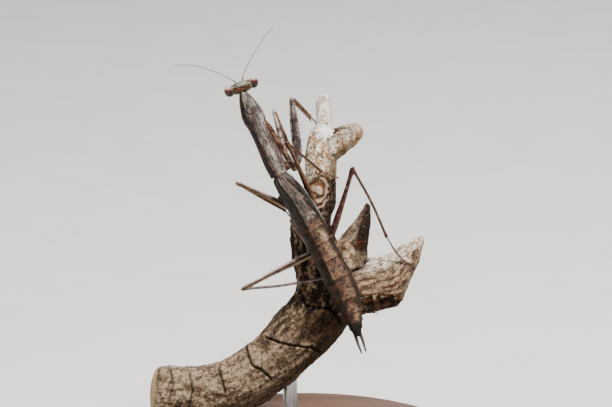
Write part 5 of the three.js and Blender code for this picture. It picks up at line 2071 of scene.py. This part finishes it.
def bare_wood(points, bark):
    """The stub's stripped wood: pale fibres with a painted highlight above and painted shade below.
    """
    edge = np.interp(bark.x, (4, 12, 16, 20), (-11.5, -11.2, -9.5, -6.5))
    # painted highlight above this edge line and painted shade below it
    lit = smoothstep(bark.z - edge + 0.8 * bark.grain, -1.6, 1.6)
    tone = smoothstep(0.5 + 1.5 * bark.fibre + 0.25 * bark.grain, 0.15, 0.85)
    shaded = blend(rgb(70, 50, 36), rgb(166, 140, 114), tone)
    lit_fibres = blend(rgb(150, 126, 106), rgb(236, 222, 206), tone)
    return layered(
        blend(shaded, lit_fibres, lit),
        (140, 92, 58, 0.25 * smoothstep(mottled(points, 1.4, 811), 0.1, 0.4)),
        (54, 36, 25, 0.8 * np.maximum(bark.spots, 0.7 * bark.specks * (1 - 0.6 * lit))),
    )


def prong_bark(points, bark):
    """The smooth pale bark of the prong that runs back."""
    prong = blend(rgb(190, 168, 154), rgb(236, 226, 214), smoothstep(bark.tone, 0.2, 0.6))
    return blend(prong, rgb(150, 122, 108), 0.5 * smoothstep(mottled(points, 0.8, 827), 0.05, 0.3))


def lichen_patch(bark):
    """White lichen where the branch forks, as a share from 0 to 1."""
    patch = 1.2 - np.hypot((bark.x - 3.1) / 1.5, (bark.z - 12.2) / 1.5) + 0.9 * bark.crumbs
    streak = 1 - np.hypot((bark.x - 4.5) / 0.8, (bark.z - 9.6) / 2.4) + 1.6 * bark.crumbs
    streak = smoothstep(streak + 0.6 * bark.grain, 0.2, 1.3)
    return np.maximum(smoothstep(patch, 0.1, 0.5) * bark.facing, 0.55 * streak * bark.facing)


def thorn_shade(bark):
    """The thorn's near-black right-hand side, as a share from 0 to 1."""
    edge = np.interp(bark.z, (-8, -3.6, -0.4), (8.3, 8.95, 9.9))
    shaded = smoothstep(bark.x - edge + 0.6 * bark.crumbs + 0.4 * bark.grain, -0.25, 0.3)
    return 0.97 * bark.thorn * shaded * smoothstep(bark.z, -8.8, -7.6)


def right_edge_shade(bark):
    """The dark band down the right of the branch's middle, as a share from 0 to 1."""
    edge = np.interp(bark.z, (-12, -6, 0, 5), (3.6, 2.6, 3.2, 4.2))
    band = smoothstep(bark.x - edge + 0.7 * bark.grain, -0.1, 0.6)
    band = band * smoothstep(bark.z, -13, -10) * (1 - smoothstep(bark.z, 4, 6))
    return band * bark.share["branch"]


def bark_colour(points, normals, bark):
    """The painted zones of the bark, the bare wood, the cracks and the cut face."""
    tip = bark.upper * smoothstep(bark.x, 7.2, 9.4)
    ragged = smoothstep(mottled(points, 1.1, 825), 0.02, 0.34)
    grey = blend(rgb(84, 66, 52), rgb(160, 138, 116), bark.tone)
    block = blend(rgb(112, 84, 60), rgb(214, 184, 150), bark.tone)
    knot = bump(np.hypot(bark.x - 7.6, bark.z - 11.9), 0, 0.5)
    peeled = smoothstep(bark.swirl + 0.8 * bark.crumbs, -0.8, 0.8)
    rust = bump(np.hypot(bark.x - 2.1, (bark.z - 2.6) * 1.2), 0, 1.0) * bark.facing
    rust = rust * smoothstep(-bark.swirl, -0.4, 0.4)
    cleft = bark.cleft * clamp(0.45 + 1.8 * mottled(points, 3.2, 829))
    cracked = bark.trunk + 0.1 * bark.lower + 0.3 * bark.upper + 0.5 * bark.thorn
    colour = layered(
        trunk_colour(bark),
        (cream_bark(points, normals, bark), 0.96 * bark.upper),
        (blend(rgb(120, 68, 44), rgb(226, 190, 158), bark.tone), 0.6 * tip),
        (bare_wood(points, bark), bark.wood),
        # the bark under the stub, near-black, partly painted shade
        (blend(rgb(30, 18, 10), rgb(96, 66, 48), ragged), 0.95 * bark.under),
        (blend(grey, rgb(42, 30, 22), 0.7 * bark.specks), bark.thorn),
        (blend(rgb(9, 6, 4), rgb(34, 22, 14), bark.tone), thorn_shade(bark)),
        (prong_bark(points, bark), 0.95 * bark.back_prong),
        (blend(block, rgb(58, 40, 28), 0.75 * bark.specks), 0.9 * bark.block),
        (255, 254, 250, 0.98 * lichen_patch(bark)),
        (84, 80, 88, 0.8 * knot * bark.facing),
        (blend(rgb(44, 28, 17), rgb(206, 178, 148), peeled), 0.9 * bark.curl),
        (30, 20, 13, 0.85 * right_edge_shade(bark)),
        (150, 78, 36, 0.55 * rust),
        (40, 24, 14, 0.9 * bump(bark.cleft_line, 0.45, 0.5) * bark.facing),
        (150, 62, 30, 0.8 * cleft),
        (BARK_DARK * 0.5, 0.85 * bark.cracks * cracked),
    )
    for places, width, _depth in CRACKS:
        gap = line_distance(bark.x + 0.15 * bark.crumbs, bark.z - 0.15 * bark.crumbs, places)
        colour = blend(colour, BARK_DARK * 0.3, 0.9 * bump(gap, 0, 1.2 * width) * bark.facing)
    rings = np.sin(5.5 * np.hypot(points[:, 1] - 9.2, bark.z + 32.4) + 1.2 * bark.lumps)
    sawn = blend(rgb(178, 146, 106), rgb(214, 186, 144), 0.5 + 0.5 * rings)
    return blend(colour, sawn, 0.95 * bark.cut)


def raised_to_soles(points, height):
    """The height of the bark, which rises to meet the feet that stand on it."""
    feet = foot_paths()
    tree_index = nearest_along(points, feet)
    gap = np.linalg.norm(points - feet[tree_index], axis=1)
    close = 1 - smoothstep(gap, 0.35, 1.3)
    return height * (1 - close) + close * np.clip(gap - TARSUS_RADIUS, 0, 0.22)


def make_perch():
    shapes = []
    for name, (path, radius, wide, flatness) in perch_limbs().items():
        if name == "stub":
            shapes.append(stub_shape(path, radius))
        else:
            shapes.append(limb(
                path, radius, 72, wide, flatness, dome=0.6 if name == "fork_back" else 0.35,
            ))
    splinter = curve([(8.2, 6.0, -17.2), (10.6, 5.2, -18.0), (12.6, 5.0, -18.6)], 24)
    shapes.append(limb(splinter, 0.5 * (1 - 0.85 * np.linspace(0, 1, 24) ** 2), 12, (0, 0, 1), 0.6))
    points, quads, tris = remeshed("perch_limbs", shapes, BARK_VOXEL)
    points = relaxed(points, quads, tris, 12)
    normals = normals_of(points, quads, tris)
    bark = bark_zones(points, normals)
    height = raised_to_soles(points, bark_height(points, bark))
    colour = bark_colour(points, normals, bark)
    points = points + normals * height[:, None]
    piece("perch_bark", [(points, quads, tris, colour)], BARK, "bark",
          "perch_branch", "perch_stub", "perch_fork_right", "perch_fork_back", "perch_thorn")


# ---- Stand ------------------------------------------------------------------------------------


def plain_piece(name, points, faces, material, slot, *replaced):
    """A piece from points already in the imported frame's metres."""
    mesh = bpy.data.meshes.new(name)
    mesh.from_pydata([tuple(p) for p in points], [], faces)
    mesh.shade_smooth()
    mesh.set_sharp_from_angle(angle=math.radians(30))
    hand_over(linked(name, mesh), material, slot, replaced)


def turned(outline, sides, centre=(0, 0)):
    """A lathe shape from (radius, height) pairs, from its underside to its top."""
    points = [
        (
            centre[0] + radius * math.cos(2 * math.pi * k / sides),
            centre[1] + radius * math.sin(2 * math.pi * k / sides), height,
        )
        for radius, height in outline for k in range(sides)
    ]
    faces = [
        (
            row * sides + k, row * sides + (k + 1) % sides, (row + 1) * sides + (k + 1) % sides,
            (row + 1) * sides + k,
        )
        for row in range(len(outline) - 1) for k in range(sides)
    ]
    faces.append(tuple(reversed(range(sides))))
    faces.append(tuple((len(outline) - 1) * sides + k for k in range(sides)))
    return points, faces


BASE_RADIUS = 32 * MM
BASE_HEIGHT = 5 * MM
BASE_EDGE = 1.2 * MM
BASE_FOOT = 0.4 * MM


def make_stand():
    outline = [
        (0.6 * BASE_RADIUS, 0), (BASE_RADIUS - 1.5 * BASE_FOOT, 0), (BASE_RADIUS - BASE_FOOT, 0),
    ]
    outline += [
        (BASE_RADIUS - BASE_FOOT * (1 - math.sin(a)), BASE_FOOT * (1 - math.cos(a)))
        for a in np.linspace(0.2, math.pi / 2, 8)
    ]
    outline += [
        (BASE_RADIUS - BASE_EDGE * (1 - math.cos(a)), BASE_HEIGHT - BASE_EDGE * (1 - math.sin(a)))
        for a in np.linspace(0, math.pi / 2, 16)
    ]
    outline += [(BASE_RADIUS - BASE_EDGE - 0.3 * MM, BASE_HEIGHT), (0.5 * BASE_RADIUS, BASE_HEIGHT)]
    plain_piece("stand_base_disc", *turned(outline, 192), WOOD, "base_wood", "stand_base")
    for node in ("stand_rod_1", "stand_rod_2"):
        low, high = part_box(node)
        centre = ((low[0] + high[0]) / 2, (low[1] + high[1]) / 2)
        radius = (high[0] - low[0]) / 2
        collar = [
            (radius, low[2]), (radius, BASE_HEIGHT), (radius, (low[2] + high[2]) / 2),
            (radius, high[2] - 0.25 * MM),
        ]
        plain_piece(
            f"{node}_steel", *turned(collar + [(radius - 0.25 * MM, high[2])], 64, centre), STEEL,
            "rod_steel", node,
        )


# ---- Stage ------------------------------------------------------------------------------------

CAMERA_DISTANCE = 400.0
FRAME_WIDTH_PX = 612
MM_PER_PX = 0.165
SENSOR_WIDTH = 36
FLOOR_HALF = 3.0


def floor_material():
    n = Nodes("studio_floor")
    grain = n.noise(60, 3)
    colour = n.mixed(n.ramp(grain, 0.3, 0.7), tuple(rgb(206, 206, 202)), tuple(rgb(212, 212, 208)))
    return n.finish(colour, None, None, Roughness=0.85, Specular_IOR_Level=0.2)


def area_light(name, place, target, size, power, colour=(1, 1, 1)):
    data = bpy.data.lights.new(name, "AREA")
    data.shape = "DISK"
    data.size = size
    data.energy = power
    data.color = colour
    light = linked(name, data)
    light.location = place
    way = Vector(target) - Vector(place)
    light.rotation_euler = way.to_track_quat("-Z", "Y").to_euler()


def make_stage():
    mesh = bpy.data.meshes.new("studio_floor")
    mesh.from_pydata(
        [(x * FLOOR_HALF, y * FLOOR_HALF, 0) for x, y in ((-1, -1), (1, -1), (1, 1), (-1, 1))], [],
        [(0, 1, 2, 3)],
    )
    mesh.materials.append(floor_material())
    linked("studio_floor", mesh)

    middle = (0, 0, 0.05)
    area_light("key_light", (0.1, -0.16, 0.47), middle, 0.09, 6.3, (1.0, 0.975, 0.94))
    area_light("ceiling_light", (-0.2, 0.25, 1.6), middle, 2.4, 27)
    area_light("back_light", (0.12, 0.45, 0.3), middle, 0.25, 0.6)
    area_light("fill_light", (0.42, -0.42, 0.16), middle, 0.3, 0.25, (1.0, 0.98, 0.96))
    world = bpy.data.worlds.new("studio_world")
    world.use_nodes = True
    world.node_tree.nodes["Background"].inputs["Color"].default_value = (0.9, 0.92, 0.95, 1)
    world.node_tree.nodes["Background"].inputs["Strength"].default_value = 0.1
    bpy.context.scene.world = world

    data = bpy.data.cameras.new("photo_camera")
    data.sensor_fit = "HORIZONTAL"
    data.sensor_width = SENSOR_WIDTH
    data.lens = SENSOR_WIDTH * CAMERA_DISTANCE / (FRAME_WIDTH_PX * MM_PER_PX)
    data.clip_start = 0.02
    camera = linked("photo_camera", data)
    camera.location = (
        0, -CAMERA_DISTANCE * math.cos(LEAN_BACK) * MM,
        (CAMERA_DISTANCE * math.sin(LEAN_BACK) + POSE_HEIGHT) * MM,
    )
    camera.rotation_euler = (math.pi / 2 - LEAN_BACK, 0, 0)
    bpy.context.scene.camera = camera


# ---- Everything -------------------------------------------------------------------------------

make_pronotum()
for wing_side in (-1, 1):
    make_wing_pad("wing_pad_fore", wing_side)
    make_wing_pad("wing_pad_hind", wing_side)
make_nota()
make_flanks()
make_sterna()
make_abdomen()
make_cerci()
make_head()
make_mouth()
make_antennae()
make_body_skin()
for leg_side in ("right", "left"):
    make_foreleg(leg_side)
for leg in WALKING_LEGS:
    make_walking_leg(leg)
make_perch()
make_stand()
make_stage()
